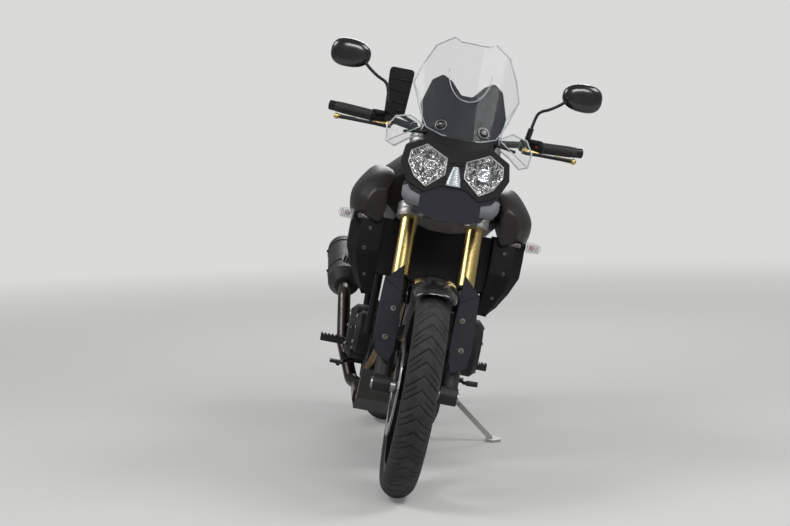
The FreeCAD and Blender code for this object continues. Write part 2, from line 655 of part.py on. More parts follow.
def frame():
    low = S.yoke_low + S.yoke_low_wall + S.run_gap
    high = S.yoke_high - S.run_gap
    head = Part.makeCylinder(S.head_radius, high - low, Vector(-S.yoke_offset, 0, low), Z)
    head = head.cut(Part.makeCylinder(S.head_radius - 15 + S.run_gap, high - low, Vector(-S.yoke_offset, 0, low), Z))
    body = in_fork(head)
    room = in_fork(Part.makeCylinder(S.head_radius - 10, high - low, Vector(-S.yoke_offset, 0, low), Z))
    for side in (1, -1):
        body = body.fuse(spar(side).cut(room))
    gusset = prism([Vector(470, -20, 868), Vector(438, -20, 960), Vector(360, -20, 890), Vector(420, -20, 835)], Y * 40)
    cross = rod(Vector(306, -150, 768), Vector(306, 150, 768), S.frame_tube)
    down = bent_tube([Vector(302, 148, 762), Vector(290, 151, 640), Vector(262, 151, 420)], S.frame_tube - 1, 60)
    body = body.fuse(gusset.cut(room)).fuse(cross).fuse(down).fuse(mirrored(down))
    plate = pivot_plate()
    body = body.fuse(plate).fuse(mirrored(plate)).fuse(stand_bracket())
    for side in (1, -1):
        body = body.fuse(Part.makeCylinder(12, S.tank_low - 768, Vector(306, side * 60, 768), Z))
    body = body.fuse(rod(Vector(-200, -153, 596), Vector(-200, 153, 596), 12))
    for side in (1, -1):
        ear = side_prism([(-196, 582), (-290, 622), (-306, 650), (-286, 662), (-188, 612)], 30 + S.seat_gap, 38 + S.seat_gap)
        body = body.fuse(ear if side > 0 else mirrored(ear))
    reach = S.arm_inner + S.arm_wall + S.seat_gap
    feature("main_frame", body.fuse(rod(PIVOT - Y * reach, PIVOT + Y * reach, 10)))


def fairing_stay():
    """Casting from the head tube, between the fork legs, that carries the lamps, screen and cowl."""
    root = on_leg(-S.yoke_offset, 0, 690)
    ahead = Vector(580, 0, 975)
    beam = prism([root + Y * v + LEG_UP * u for v, u in ((-19, -42), (19, -42), (19, 42), (-19, 42))],
                 (ahead - root) + X * 4)
    tube = in_fork(Part.makeCylinder(S.head_radius + S.seat_gap, 400, Vector(-S.yoke_offset, 0, 500), Z))
    bar = rod(Vector(580, -112, 975), Vector(580, 112, 975), 10)
    body = beam.cut(tube).fuse(bar)
    for side in (1, -1):
        body = body.fuse(rod(Vector(580, side * 96, 975), Vector(640, side * 96, 975), 9))
        body = body.fuse(bent_tube([Vector(580, side * 70, 975), Vector(562, side * 70, 1080),
                                    Vector(500, side * 62, 1190), Vector(560, side * 62, 1215)], 6, 30))
    body = body.cut(upright("headlamp_shell")).cut(upright("instrument_cowl"))
    biggest = max(body.Solids, key=lambda solid: solid.Volume)
    feature("fairing_stay", biggest)


def pivot_plate():
    """Left plate that carries the swingarm's pivot shaft and the foot peg."""
    outline = [(-255, 262), (-175, 262), (-165, 330), (-178, 470), (-214, 500), (-250, 470), (-262, 340)]
    inner = S.arm_inner + S.arm_wall + S.seat_gap
    plate = side_prism(outline, inner, inner + S.plate_wall, 16)
    return plate.fuse(rod(PIVOT + Y * inner, PIVOT + Y * (inner + 16), 20))


def engine():
    half = S.engine_half
    cases = side_prism([(-166, 300), (-168, 440), (-60, 500), (60, 505), (215, 472), (262, 420), (250, 300),
                        (150, 238), (-120, 232)], -half, half, 26)
    pocket = Part.makeBox(160, 80, 260, Vector(-212, S.chain_y - 14, 226))
    cases = cases.cut(pocket)
    reach = 151 - S.frame_tube + 1 - S.seat_gap
    cases = cases.fuse(Part.makeCylinder(16, 2 * reach, Vector(260, -reach, 420), Y))
    sump = side_prism([(-105, 240), (150, 245), (175, 228), (150, 186), (-90, 186)], -22, 112)
    feature("crankcase", cases.fuse(sump))
    block = side_prism([(30, 506), (60, 505.6), (215, 472.6), (238, 470), (262, 598), (68, 626)], -118, 118)
    head = side_prism([(68, 626), (262, 598), (272, 655), (80, 686)], -122, 122)
    cover = side_prism([(84, 680), (268, 650), (262, 700), (190, 726), (96, 726)], -112, 112, 14)
    feature("cylinders", block.fuse(head).fuse(cover))


def airbox():
    """Intake box behind the cylinders, with one stub to each port."""
    box = side_prism([(-150, 596), (-150, 690), (-104, 736), (12, 740), (12, 596)], -108, 108, 22)
    for port in (-82, 0, 82):
        box = box.fuse(rod(Vector(0, port, 672), Vector(90, port, 655), 24))
    feature("airbox", box.cut(upright("cylinders")))


def dome(x, z, radius, y_start, y_end, edge):
    """Round engine cover with a softened rim."""
    depth = y_end - y_start
    way = Y if depth > 0 else Y * -1
    body = Part.makeCylinder(radius, abs(depth), Vector(x, y_start, z), way)
    outer = [e for e in body.Edges if abs(e.BoundBox.YMin - y_end) < 0.01 and abs(e.BoundBox.YMax - y_end) < 0.01]
    return body.makeChamfer(edge, outer)


def engine_covers():
    face = S.engine_half + S.seat_gap
    left = dome(105, 418, 96, face, 228, 16).fuse(dome(10, 400, 60, face, 190, 10))
    right = dome(-40, 386, 92, -face, -205, 18).fuse(dome(95, 400, 70, -face, -186, 12))
    half = S.engine_half
    sprocket_side = side_prism([(-166, 330), (-166, 440), (-56, 470), (-52.3, 300), (-100, 290)], half - 22, half, 24)
    feature("engine_covers", Part.makeCompound([left, right, sprocket_side]))
    guard = side_prism([(-70, 172), (235, 172), (345, 225), (392, 320), (398, 318), (350, 218), (237, 166), (-70, 166)],
                       -150, 118)
    for x in (-40, 120):
        guard = guard.fuse(Part.makeCylinder(9, 186 - 168 - S.seat_gap, Vector(x, 90, 168), Z))
    feature("sump_guard", guard)


def radiator():
    lean = math.radians(16)
    up = Vector(-math.sin(lean), 0, math.cos(lean))
    ahead = Vector(math.cos(lean), 0, math.sin(lean))
    low = Vector(403, 0, 625)
    core = prism([low + ahead * u + Y * v for u, v in ((0, -150), (22, -150), (22, 150), (0, 150))], up * 178)
    tanks = []
    for side in (1, -1):
        corners = ((-6, side * 150), (28, side * 150), (28, side * 180), (-6, side * 180))
        tanks.append(prism([low + ahead * u + Y * v for u, v in corners], up * 178))
    body = core.fuse(tanks[0]).fuse(tanks[1])
    fan = Part.makeCylinder(72, 26, low + up * 88 - ahead * 26.3, ahead)
    fan = fan.cut(Part.makeCylinder(62, 22, low + up * 88 - ahead * 26.3, ahead))
    body = body.fuse(fan.translated(ahead * 0.3))
    for side in (1, -1):
        for z in (655, 745):
            body = body.fuse(rod(Vector(300, side * 158, z), low + up * (z - 625) + Y * side * 165, 7))
    feature("radiator", body.cut(upright("main_frame")))


HEADERS = [(-82, -132), (0, -92), (82, -52)]


def exhaust():
    pipes = []
    for port, low in HEADERS:
        route = [Vector(273.5, port, 632), Vector(338, port, 622), Vector(352, port * 0.9, 500),
                 Vector(334, low, 290), Vector(262, low, 203), Vector(214, low, 203)]
        pipe = bent_tube(route, 17, 52)
        flange = Part.makeCylinder(26, 8, Vector(268.5, port, 633), Vector(57, 0, -10))
        pipes.append(pipe.fuse(flange))
    feature("exhaust_headers", Part.makeCompound(pipes))
    box = prism([Vector(213.7, y, z) for y, z in ((-158, 228), (-28, 228), (-28, 178), (-158, 178))],
                Vector(-240, 0, 0), 14)
    start = Vector(-392.3, -236, 496)
    way = Vector(-420, -18, 108).normalize()
    link = bent_tube([Vector(-20, -118, 203), Vector(-110, -160, 212), Vector(-235, -208, 320),
                      start - way * 75, start - way * S.seat_gap], 22, 50)
    feature("exhaust_pipe", box.fuse(link))
    silencer = Part.makeCone(34, 58, 50, start, way).fuse(Part.makeCylinder(58, 330, start + way * 50, way))
    silencer = silencer.fuse(Part.makeCone(58, 40, 50, start + way * 380, way))
    silencer = silencer.cut(Part.makeCylinder(20, 40, start + way * 395, way))
    feature("silencer", silencer)


# Rear end

def swingarm():
    inner = S.arm_inner
    outline = [(-176, 344), (-180, 396), (-300, 404), (-560, 376), (-700, 352), (-806, 352), (-818, 322),
               (-806, 292), (-700, 296), (-560, 318), (-300, 336), (-214, 336)]
    left = side_prism(outline, inner, inner + S.arm_wall, 14)
    left = left.cut(rod(REAR_AXLE, REAR_AXLE + Y * 300, S.axle_radius + S.seat_gap))
    body = left.fuse(mirrored(left)).fuse(rod(PIVOT - Y * inner, PIVOT + Y * inner, 28))
    brace = side_prism([(-372, 350), (-322, 350), (-322, 397.7), (-372, 397.7)], -inner, inner, 6)
    body = body.fuse(brace)
    reach = inner + S.arm_wall
    feature("swingarm", body.cut(rod(PIVOT - Y * reach, PIVOT + Y * reach, 10 + S.seat_gap)))


def sprocket(teeth, tip_drop, base, depth):
    """Toothed sprocket plate, its tips short of the chain's rollers."""
    tip = pitch_radius(teeth) - tip_drop
    root = tip - 7
    points = []
    for i in range(int(teeth)):
        for share, radius in ((-0.34, root), (-0.12, tip), (0.12, tip), (0.34, root)):
            angle = 2 * math.pi * (i + share) / teeth
            points.append(base + Vector(radius * math.cos(angle), 0, radius * math.sin(angle)))
    return prism(points, Y * depth)


def loop_band(shift, y_low, depth):
    """Closed band round both sprockets, its outline moved off the pitch line by shift."""
    small = pitch_radius(S.front_teeth) + shift
    large = pitch_radius(S.rear_teeth) + shift
    span = FRONT_SPROCKET - REAR_SPROCKET
    tilt = math.atan2(span.z, span.x)
    turn = math.acos((large - small) / span.Length)
    def at(centre, radius, angle):
        return Vector(centre.x + radius * math.cos(angle), y_low, centre.z + radius * math.sin(angle))
    up = tilt + turn
    down = tilt - turn
    edges = [Part.LineSegment(at(REAR_SPROCKET, large, up), at(FRONT_SPROCKET, small, up)),
             Part.Arc(at(FRONT_SPROCKET, small, up), at(FRONT_SPROCKET, small, tilt), at(FRONT_SPROCKET, small, down)),
             Part.LineSegment(at(FRONT_SPROCKET, small, down), at(REAR_SPROCKET, large, down)),
             Part.Arc(at(REAR_SPROCKET, large, down), at(REAR_SPROCKET, large, tilt + math.pi),
                      at(REAR_SPROCKET, large, up))]
    return Part.Face(Part.Wire([edge.toShape() for edge in edges])).extrude(Y * depth)


def chain_drive():
    half = S.sprocket_wall / 2
    plates = loop_band(7.5, S.chain_y - half - 3.7, 2.4).cut(loop_band(-7.5, S.chain_y - half - 3.7, 2.4))
    other = loop_band(7.5, S.chain_y + half + 1.3, 2.4).cut(loop_band(-7.5, S.chain_y + half + 1.3, 2.4))
    web = loop_band(5, S.chain_y - half - 1.3, 2 * half + 2.6).cut(loop_band(-5, S.chain_y - half - 1.3, 2 * half + 2.6))
    links = plates.fuse(other).fuse(web)
    front = sprocket(S.front_teeth, 5.3, FRONT_SPROCKET - Y * half, S.sprocket_wall)
    front = front.fuse(rod(FRONT_SPROCKET - Y * 13.7, FRONT_SPROCKET - Y * half, 20))
    front = front.fuse(rod(FRONT_SPROCKET, FRONT_SPROCKET + Y * (half + 8), 14))
    feature("drive_chain", Part.makeCompound([links, front]))
    rear = sprocket(S.rear_teeth, 7, REAR_SPROCKET - Y * half, S.sprocket_wall)
    rear = rear.cut(rod(REAR_SPROCKET - Y * 20, REAR_SPROCKET + Y * 20, 82))
    web = rod(REAR_AXLE + Y * S.rear_hub_half, REAR_SPROCKET + Y * half, 60)
    for i in range(5):
        arm = Part.makeBox(90 - 50, S.sprocket_wall, 30, Vector(50, 0, -15))
        arm.Placement = Placement(REAR_SPROCKET - Y * half, Rotation(Y, -360 * i / 5))
        web = web.fuse(arm)
    rear = rear.fuse(web).cut(rod(REAR_AXLE, REAR_AXLE + Y * 200, S.axle_radius + 8))
    feature("rear_sprocket", rear)


def rear_caliper():
    block = side_prism([(-716, 330), (-640, 330), (-636, 420), (-700, 436)], -S.arm_inner + S.seat_gap, -58, 8)
    gap = S.clear_gap
    slot = Part.makeCylinder(S.rear_disc + gap, S.disc_wall + 2 * gap,
                             REAR_AXLE - Y * (S.rear_hub_half + S.disc_wall + gap), Y)
    feature("rear_caliper", block.cut(slot))


def rear_shock():
    top = Vector(-290, 0, 640)
    low = Vector(-345, 0, 412)
    way = (top - low).normalize()
    body = rod(low, top, 14).fuse(rod(low + way * 40, low + way * 190, 33)).fuse(rod(top - way * 50, top - way * 8, 24))
    body = body.fuse(Part.makeCylinder(16, 60, top - Y * 30, Y)).fuse(Part.makeCylinder(14, 40, low - Y * 20, Y))
    feature("rear_shock", body)


# Tank, seats and panels

def tank():
    sections = [across(322, [(60, 985), (120, 965), (175, 920), (188, 860), (120, 800), (50, 792)]),
                across(180, [(70, 1026), (140, 1008), (212, 940), (222, 860), (150, 765), (60, 762)]),
                across(20, [(60, 1012), (120, 996), (182, 925), (192, 830), (140, 752), (60, 750)]),
                across(-118, [(40, 915), (78, 900), (112, 855), (120, 800), (100, 756), (40, 752)])]
    body = loft(sections, 40)
    cap = Part.makeCylinder(38, 20, Vector(150, 0, 1012), Vector(0.05, 0, 1))
    feature("fuel_tank", body.fuse(cap).cut(upright("main_frame")))


def seats():
    rider = loft([across(-118 - S.seat_gap, [(40, 905), (70, 894), (105, 850), (112, 800), (90, 776), (40, 772)]),
                  across(-230, [(60, 836), (118, 826), (152, 800), (154, 776), (110, 754), (50, 752)]),
                  across(-330, [(70, 832), (130, 824), (166, 798), (166, 774), (120, 754), (50, 752)]),
                  across(-398, [(70, 852), (130, 842), (158, 814), (158, 784), (120, 762), (50, 760)])], 22)
    feature("rider_seat", rider)
    pillion = loft([across(-398 - S.seat_gap, [(60, 878), (110, 870), (140, 842), (142, 806), (110, 784), (50, 782)]),
                    across(-530, [(60, 902), (110, 894), (136, 866), (136, 820), (104, 798), (50, 796)]),
                    across(-680, [(50, 914), (86, 906), (106, 880), (106, 840), (80, 822), (40, 820)])], 20)
    feature("pillion_seat", pillion)


def tank_panels():
    sections = [[(505, 186, 900), (505, 220, 892), (505, 238, 850), (505, 224, 812), (505, 190, 800), (505, 180, 850)],
                [(420, 168, 948), (420, 228, 936), (420, 284, 872), (420, 268, 792), (420, 205, 768), (420, 192, 860)],
                [(300, 200, 958), (300, 246, 944), (300, 288, 872), (300, 276, 790), (300, 226, 762), (300, 190, 860)],
                [(120, 212, 938), (120, 240, 928), (120, 262, 860), (120, 256, 800), (120, 224, 776), (120, 206, 850)],
                [(-20, 196, 900), (-20, 206, 892), (-20, 214, 856), (-20, 212, 822), (-20, 204, 808), (-20, 198, 850)]]
    return loft([[Vector(*corner) for corner in section] for section in sections], 12)


def bodywork():
    wing = tank_panels().cut(upright("fuel_tank"))
    feature("tank_wings", pair(wing))
    low = loft([[Vector(x, 196, z) for x, z in ((480, 808), (494, 690), (430, 590), (398, 556), (352, 604), (336, 800))],
                [Vector(x, 244, z) for x, z in ((474, 812), (486, 694), (428, 600), (400, 572), (362, 612), (346, 802))],
                [Vector(x, 276, z) for x, z in ((456, 806), (462, 700), (416, 640), (404, 622), (380, 650), (368, 796))]],
               14, True)
    low = low.cut(wing)
    feature("radiator_shrouds", pair(low))
    cover = prism([Vector(-40, 150, 700), Vector(-80, 150, 745), Vector(-320, 150, 742), Vector(-330, 150, 700),
                   Vector(-240, 150, 612)], Y * 22, 16)
    cover = cover.cut(spar(1)).cut(rear_frame_side())
    side = loft([[Vector(-400, y, z) for y, z in ((146, 736), (160, 742), (162, 838), (152, 845))],
                 [Vector(-600, y, z) for y, z in ((124, 774), (146, 780), (150, 868), (140, 874))],
                 [Vector(-790, y, z) for y, z in ((108, 806), (118, 812), (114, 884), (104, 890))]], 4, True)
    for x, y, z, reach in ((-450, 110, 757, 40), (-700, 97, 795, 26)):
        side = side.fuse(Part.makeCylinder(7, reach, Vector(x, y, z), Y))
    side = side.cut(rear_frame_side())
    feature("rear_panels", Part.makeCompound([cover, mirrored(cover), side, mirrored(side)]))
    lamp = prism([Vector(-800.3, -52, 842), Vector(-800.3, 52, 842), Vector(-828, 40, 846), Vector(-828, -40, 846)],
                 Z * 34)
    feature("tail_lamp", lamp)


def rear_frame_side():
    """Left seat rail with its strut."""
    rail = [Vector(-96, 152, 640), Vector(-190, 126, 690), Vector(-300, 118, 734), Vector(-790, 94, 808)]
    strut = [Vector(-236, 151, 506), Vector(-330, 134, 560), Vector(-600, 104, 770)]
    return bent_tube(rail, S.rail_tube, 60).fuse(bent_tube(strut, S.rail_tube, 60))


def subframe():
    left = rear_frame_side()
    body = left.fuse(mirrored(left))
    for x, y, z in ((-300, 118, 734), (-660, 101, 789)):
        body = body.fuse(rod(Vector(x, -y, z), Vector(x, y, z), S.rail_tube - 2))
    body = body.cut(spar(1)).cut(spar(-1))
    feature("rear_frame", body)


def rack():
    points = [Vector(-506, 153, 846), Vector(-556, 153, 918), Vector(-720, 120, 934), Vector(-880, 84, 934),
              Vector(-890, 0, 934)]
    loop = points + [Vector(p.x, -p.y, p.z) for p in reversed(points[:-1])]
    rail = bent_tube(loop, 9, 34)
    plate = prism([Vector(x, y, 930) for x, y in ((-700, -118), (-872, -82), (-872, 82), (-700, 118))], Z * 8)
    body = rail.fuse(plate)
    for side in (1, -1):
        body = body.fuse(rod(Vector(-745, side * 97, 800), Vector(-745, side * 97, 934), 7))
    feature("rear_rack", body.cut(upright("rear_frame")).cut(upright("rear_panels")))


def rear_mudguard():
    front = -660 - S.rail_tube + 2 - S.seat_gap
    deck = side_prism([(front, 786), (front, 816), (-690, 818), (-706, 856), (-800, 868), (-800, 816)], -66, 66)
    tail = side_prism([(-690, 818), (-800, 834), (-860, 812), (-1022, 650), (-1048, 560), (-1041, 558), (-1014, 646),
                       (-856, 802), (-800, 824), (-690, 808)], -62, 62)
    feature("rear_mudguard", tail.fuse(deck))


# Front body

LAMP_CENTRE = (88, 1003)
LAMP_OUTLINE = [(10, 64), (57, 36), (60, 1), (36, -39), (-5, -65), (-60, -19), (-59, 31)]


def face_x(z):
    """Front of the lamp unit at a height: it leans back as it rises."""
    return 702 - 0.42 * (z - 940)


def lamp_face(scale, setback):
    """Corners of the left lamp opening."""
    y0, z0 = LAMP_CENTRE
    return [Vector(face_x(z0 + z * scale) - setback, y0 + y * scale, z0 + z * scale) for y, z in LAMP_OUTLINE]


def face_points(half_outline, setback):
    """Closed outline on the lamp unit's front from its left half."""
    left = [Vector(face_x(z) - setback, y, z) for y, z in half_outline]
    right = [Vector(p.x, -p.y, p.z) for p in reversed(left)]
    return left + right


def headlamps():
    shell = prism(face_points([(28, 1064), (98, 1086), (160, 1052), (168, 1000), (142, 946), (84, 922), (40, 950)], 0),
                  X * -72, 12)
    depth = 46
    for flip in (False, True):
        room = prism(lamp_face(1.0, -20), X * -(depth + 20), 10)
        shell = shell.cut(mirrored(room) if flip else room)
    small = face_points([(22, 1022), (26, 985), (12, 964)], -20)
    small_room = prism(small, X * -50, 4)
    shell = shell.cut(small_room)
    feature("headlamp_shell", shell)
    bowl = prism(lamp_face(S.lens_share, 9), X * -(depth - 9.3), 10)
    scoop = Part.makeLoft([rounded_wire(lamp_face(0.93, 8.5), 10), rounded_wire(lamp_face(0.4, depth - 6), 4)], True, True)
    feature("headlamp_bowls", pair(bowl.cut(scoop)))
    lens = prism(lamp_face(S.lens_share, 1), X * -4, 10)
    middle = prism(face_points([(21.6, 1021.6), (25.6, 985), (11.8, 964.4)], 3), X * -24, 3.5)
    feature("headlamp_lenses", Part.makeCompound([lens, mirrored(lens), middle]))
    chin = prism(face_points([(40, 949.6), (84, 921.6), (141.8, 945.6), (150, 934), (128, 902), (100, 862), (50, 850)], 4),
                 X * -52, 10)
    feature("chin_panel", chin)


SCREEN_FOOT = Vector(645, 0, 1080)
SCREEN_UP = Vector(-190, 0, 320).normalize()
SCREEN_OUT = Vector(320, 0, 190).normalize()
SCREEN_BEND = 230


def screen_skin(inset, wall, half_outline, radius):
    """Curved sheet cut from a tube that leans back, by an outline seen from the front."""
    axis = SCREEN_FOOT - SCREEN_OUT * SCREEN_BEND - SCREEN_UP * 200
    outer = Part.makeCylinder(SCREEN_BEND - inset, 800, axis, SCREEN_UP)
    inner = Part.makeCylinder(SCREEN_BEND - inset - wall, 800, axis, SCREEN_UP)
    left = [Vector(390, y, z) for y, z in half_outline]
    right = [Vector(p.x, -p.y, p.z) for p in reversed(left)]
    window = prism(left + right, X * 330, radius)
    return outer.cut(inner).common(window)


def screen():
    outline = [(44, 1396), (68, 1408), (120, 1372), (152, 1305), (172, 1242), (140, 1160), (112, 1112), (60, 1096)]
    feature("windscreen", screen_skin(0, S.screen_wall, outline, 16))
    cowl = [(18, 1230), (52, 1268), (82, 1284), (112, 1262), (136, 1180), (118, 1112), (50, 1098)]
    hood = screen_skin(S.screen_wall + 16, 14, cowl, 12)
    base = screen_skin(S.screen_wall + S.seat_gap, 15, [(40, 1052), (104, 1068), (128, 1120), (100, 1140), (30, 1130)], 8)
    base = max(base.cut(upright("headlamp_shell")).Solids, key=lambda solid: solid.Volume)
    feature("instrument_cowl", hood.fuse(base))


def indicators():
    lamps = []
    panels = upright("tank_wings").fuse(upright("radiator_shrouds"))
    outline = [(0, -17), (44, -13), (50, 0), (44, 14), (0, 18)]
    for x, seat, root, z in ((480, 196, 274, 802), (-850, 62 + S.seat_gap, 112, 811)):
        stalk = rod(Vector(x, seat, z), Vector(x, root + 4, z), 7).cut(panels)
        stalk = max(stalk.Solids, key=lambda solid: solid.CenterOfMass.y)
        lamp = stalk.fuse(prism([Vector(x - 17, root + u, z + v) for u, v in outline], X * 34, 6))
        lamps += [lamp, mirrored(lamp)]
    feature("indicators", Part.makeCompound(lamps))


# Foot controls and stand

def foot_controls():
    bracket = rod(Vector(-186, 158, 341), Vector(-160, 172, 331), 12).cut(pivot_plate())
    peg = prism([Vector(-160 + u, 166, 331 + v) for u, v in ((-20, -9), (20, -9), (20, 9), (-20, 9))], Y * 122, 4)
    rider = bracket.fuse(peg)
    hanger = bent_tube([Vector(-300, 148, 560), Vector(-330, 160, 585), Vector(-345, 176, 590)], 10, 20)
    rear = hanger.cut(rear_frame_side()).fuse(rod(Vector(-345, 168, 590), Vector(-345, 262, 592), 11))
    feature("foot_pegs", Part.makeCompound([rider, mirrored(rider), rear, mirrored(rear)]))
    lever = bent_tube([Vector(-20, 200, 290), Vector(60, 206, 292), Vector(118, 208, 300)], 6, 20)
    tip = rod(Vector(118, 208, 300), Vector(118, 246, 302), 9)
    lever = lever.fuse(tip).fuse(Part.makeCylinder(9, 208 - S.engine_half, Vector(-20, S.engine_half + S.seat_gap, 290), Y))
    pedal = bent_tube([Vector(-120, -172, 280), Vector(0, -216, 276), Vector(112, -222, 284)], 7, 30)
    pad = Part.makeBox(34, 44, 10, Vector(98, -250, 286))
    pivot = Part.makeCylinder(11, 184 - S.engine_half, Vector(-120, -184 - S.seat_gap, 280), Y)
    feature("foot_levers", Part.makeCompound([lever, pedal.fuse(pad).fuse(pivot)]))


def side_stand():
    eye = Part.makeCylinder(17, 16, STAND_PIVOT - STAND_AXIS * 8, STAND_AXIS)
    floor = STAND_FOOT
    ankle = floor + Vector(0, 0, 8) - STAND_WAY * 6
    length = (ankle - STAND_PIVOT).Length
    leg = block_between(STAND_PIVOT, STAND_WAY, STAND_AXIS, (10, length), 8, 13)
    groove = block_between(STAND_PIVOT + STAND_AXIS * 8, STAND_WAY, STAND_AXIS, (40, length - 20), 4, 7)
    leg = leg.cut(groove).cut(groove.translated(STAND_AXIS * -16))
    flat_y = Vector(0, math.cos(LEAN), math.sin(LEAN))
    flat_z = Vector(0, -math.sin(LEAN), math.cos(LEAN))
    corners = ((-38, -20), (30, -26), (46, 0), (30, 26), (-38, 24))
    plate = prism([floor + X * u + flat_y * v for u, v in corners], flat_z * 9, 8)
    under = prism([floor + X * u + flat_y * v - flat_z * 60 for u, v in ((-90, -90), (90, -90), (90, 90), (-90, 90))],
                  flat_z * 60)
    body = eye.fuse(leg).fuse(plate).cut(under)
    body = body.cut(Part.makeCylinder(6 + S.run_gap, 40, STAND_PIVOT - STAND_AXIS * 20, STAND_AXIS))
    feature("side_stand", body)


def build():
    wheels()
    axles()
    fork()
    yokes()
    handlebar()
    grips()
    controls()
    mirrors()
    navigator()
    guards()
    front_mudguard()
    front_calipers()
    frame()
    engine()
    airbox()
    engine_covers()
    radiator()
    exhaust()
    swingarm()
    chain_drive()
    rear_caliper()
    rear_shock()
    tank()
    seats()
    subframe()
    bodywork()
    rack()
    rear_mudguard()
    headlamps()
    screen()
    fairing_stay()
    indicators()
    foot_controls()
    side_stand()


def check_document():
    """Stops on any failed object or sub-part without a sound shape."""
    doc.recompute()
    for obj in doc.Objects:
        if "Invalid" in obj.State or "Error" in obj.State:
            raise RuntimeError("failed object: " + obj.Name)
    for node in NODES:
        if node.Shape.isNull() or not node.Shape.isValid():
            raise RuntimeError("unsound shape: " + node.Label)


def export():
    os.makedirs("parts", exist_ok=True)
    for node in NODES:
        node.Shape.exportStep("parts/%s.step" % node.Label)
        solids = len(node.Shape.Solids)
        print("%-22s %2d solids %9.1f cm3" % (node.Label, solids, node.Shape.Volume / 1000))


build()
check_document()
export()
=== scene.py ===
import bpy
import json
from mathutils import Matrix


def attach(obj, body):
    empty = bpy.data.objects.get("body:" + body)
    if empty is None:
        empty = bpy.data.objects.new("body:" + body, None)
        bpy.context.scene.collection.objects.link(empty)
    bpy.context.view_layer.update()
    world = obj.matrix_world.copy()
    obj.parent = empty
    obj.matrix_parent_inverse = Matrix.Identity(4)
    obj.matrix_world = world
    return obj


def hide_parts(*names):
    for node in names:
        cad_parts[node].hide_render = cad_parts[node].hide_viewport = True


bl_info = {
    "name": "Adventure Motorcycle Looks",
    "version": (1, 0, 0),
    "blender": (4, 5, 0),
    "location": "View3D > Sidebar > Motorcycle",
    "description": "Finishes, tread, seats, lamps and small parts of a motorcycle on its side stand",
    "category": "Object",
}

import json
import math

import bmesh
import bpy
from bpy.props import FloatProperty, FloatVectorProperty, PointerProperty
from mathutils import Matrix, Vector, noise
from mathutils.bvhtree import BVHTree

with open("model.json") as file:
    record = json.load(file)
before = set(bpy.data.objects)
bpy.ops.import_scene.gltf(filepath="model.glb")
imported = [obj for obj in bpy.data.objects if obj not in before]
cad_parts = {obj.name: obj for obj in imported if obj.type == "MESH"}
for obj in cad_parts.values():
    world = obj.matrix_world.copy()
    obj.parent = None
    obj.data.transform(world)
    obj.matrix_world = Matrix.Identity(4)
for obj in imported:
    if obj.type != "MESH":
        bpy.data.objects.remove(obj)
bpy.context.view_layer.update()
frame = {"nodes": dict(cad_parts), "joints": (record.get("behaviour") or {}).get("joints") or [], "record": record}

# Frames of reference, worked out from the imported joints

JOINTS = {joint["name"]: joint for joint in frame["joints"]}
SLOTS = {row["node"]: row["material_slot"] for row in frame["record"]["subparts"]}
X = Vector((1, 0, 0))
Y = Vector((0, 1, 0))
Z = Vector((0, 0, 1))
MM = 0.001
ACROSS = Vector(JOINTS["front_wheel_spin"]["axis"]).normalized()
UP = X.cross(ACROSS).normalized()
FRONT_HUB = Vector(JOINTS["front_wheel_spin"]["pos_m"])
REAR_HUB = Vector(JOINTS["rear_wheel_spin"]["pos_m"])
WHEELBASE = (FRONT_HUB - REAR_HUB).x / MM
GROUND_MIDDLE = FRONT_HUB - UP * (FRONT_HUB.z / UP.z) - X * WHEELBASE / 2 * MM
LEAN = Matrix((X, ACROSS, UP)).transposed().to_4x4()
STANCE = Matrix.Translation(GROUND_MIDDLE) @ LEAN @ Matrix.Scale(MM, 4)
INTO_UPRIGHT = STANCE.inverted()
FRONT_AXLE = INTO_UPRIGHT @ FRONT_HUB
REAR_AXLE = INTO_UPRIGHT @ REAR_HUB
AXLE_LEAD = 14
LEG_HALF = 103
LEG_UP = (INTO_UPRIGHT.to_3x3() @ Vector(JOINTS["steering_turn"]["axis"])).normalized()
LEG_FORWARD = Y.cross(LEG_UP).normalized()
LEG_BASE = FRONT_AXLE - LEG_FORWARD * AXLE_LEAD
FORK = Matrix.Translation(LEG_BASE) @ Matrix((LEG_FORWARD, Y, LEG_UP)).transposed().to_4x4()

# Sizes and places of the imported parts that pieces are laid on, upright millimetres

YOKE_LOW, YOKE_LOW_WALL = 545, 45
YOKE_HIGH, YOKE_HIGH_WALL = 790, 32
CLAMP_RADIUS = 41
TUBE_LOW, TUBE_HIGH = 345, 826
GRIP_ROOT = Vector((356.5, 269, 1114))
GRIP_WAY = Vector((-0.3507, 0.9353, 0.0468)).normalized()
LEVER_ROOT = Vector((418.2, 219.4, 1094.9))
LEVER_TIP = Vector((356.2, 384.4, 1090.9))
MIRROR = Vector((330, 374, 1304))
FRONT_SPROCKET = Vector((-113, 95, 385))
REAR_SPROCKET = Vector((REAR_AXLE.x, 95, REAR_AXLE.z))
FRONT_TEETH, REAR_TEETH = 16, 50
PITCH = 15.875
CHAIN_HALF = 7.2
SHOCK_TOP = Vector((-290, 0, 640))
SHOCK_LOW = Vector((-345, 0, 412))
MUDGUARD_RADIUS, MUDGUARD_HALF = 352, 69
GUARD_FORWARD = 44
# Round engine covers as x, z, radius and side
ENGINE_COVERS = ((105, 418, 96, 1), (10, 400, 60, 1), (-40, 386, 92, -1), (95, 400, 70, -1))
SILENCER_START = Vector((-392.3, -236, 496))
SILENCER_WAY = Vector((-420, -18, 108))
STAND_PIVOT = Vector((-250, 150, 238))
STAND_FOOT = Vector((-204, 366, 81))


# Shader expressions

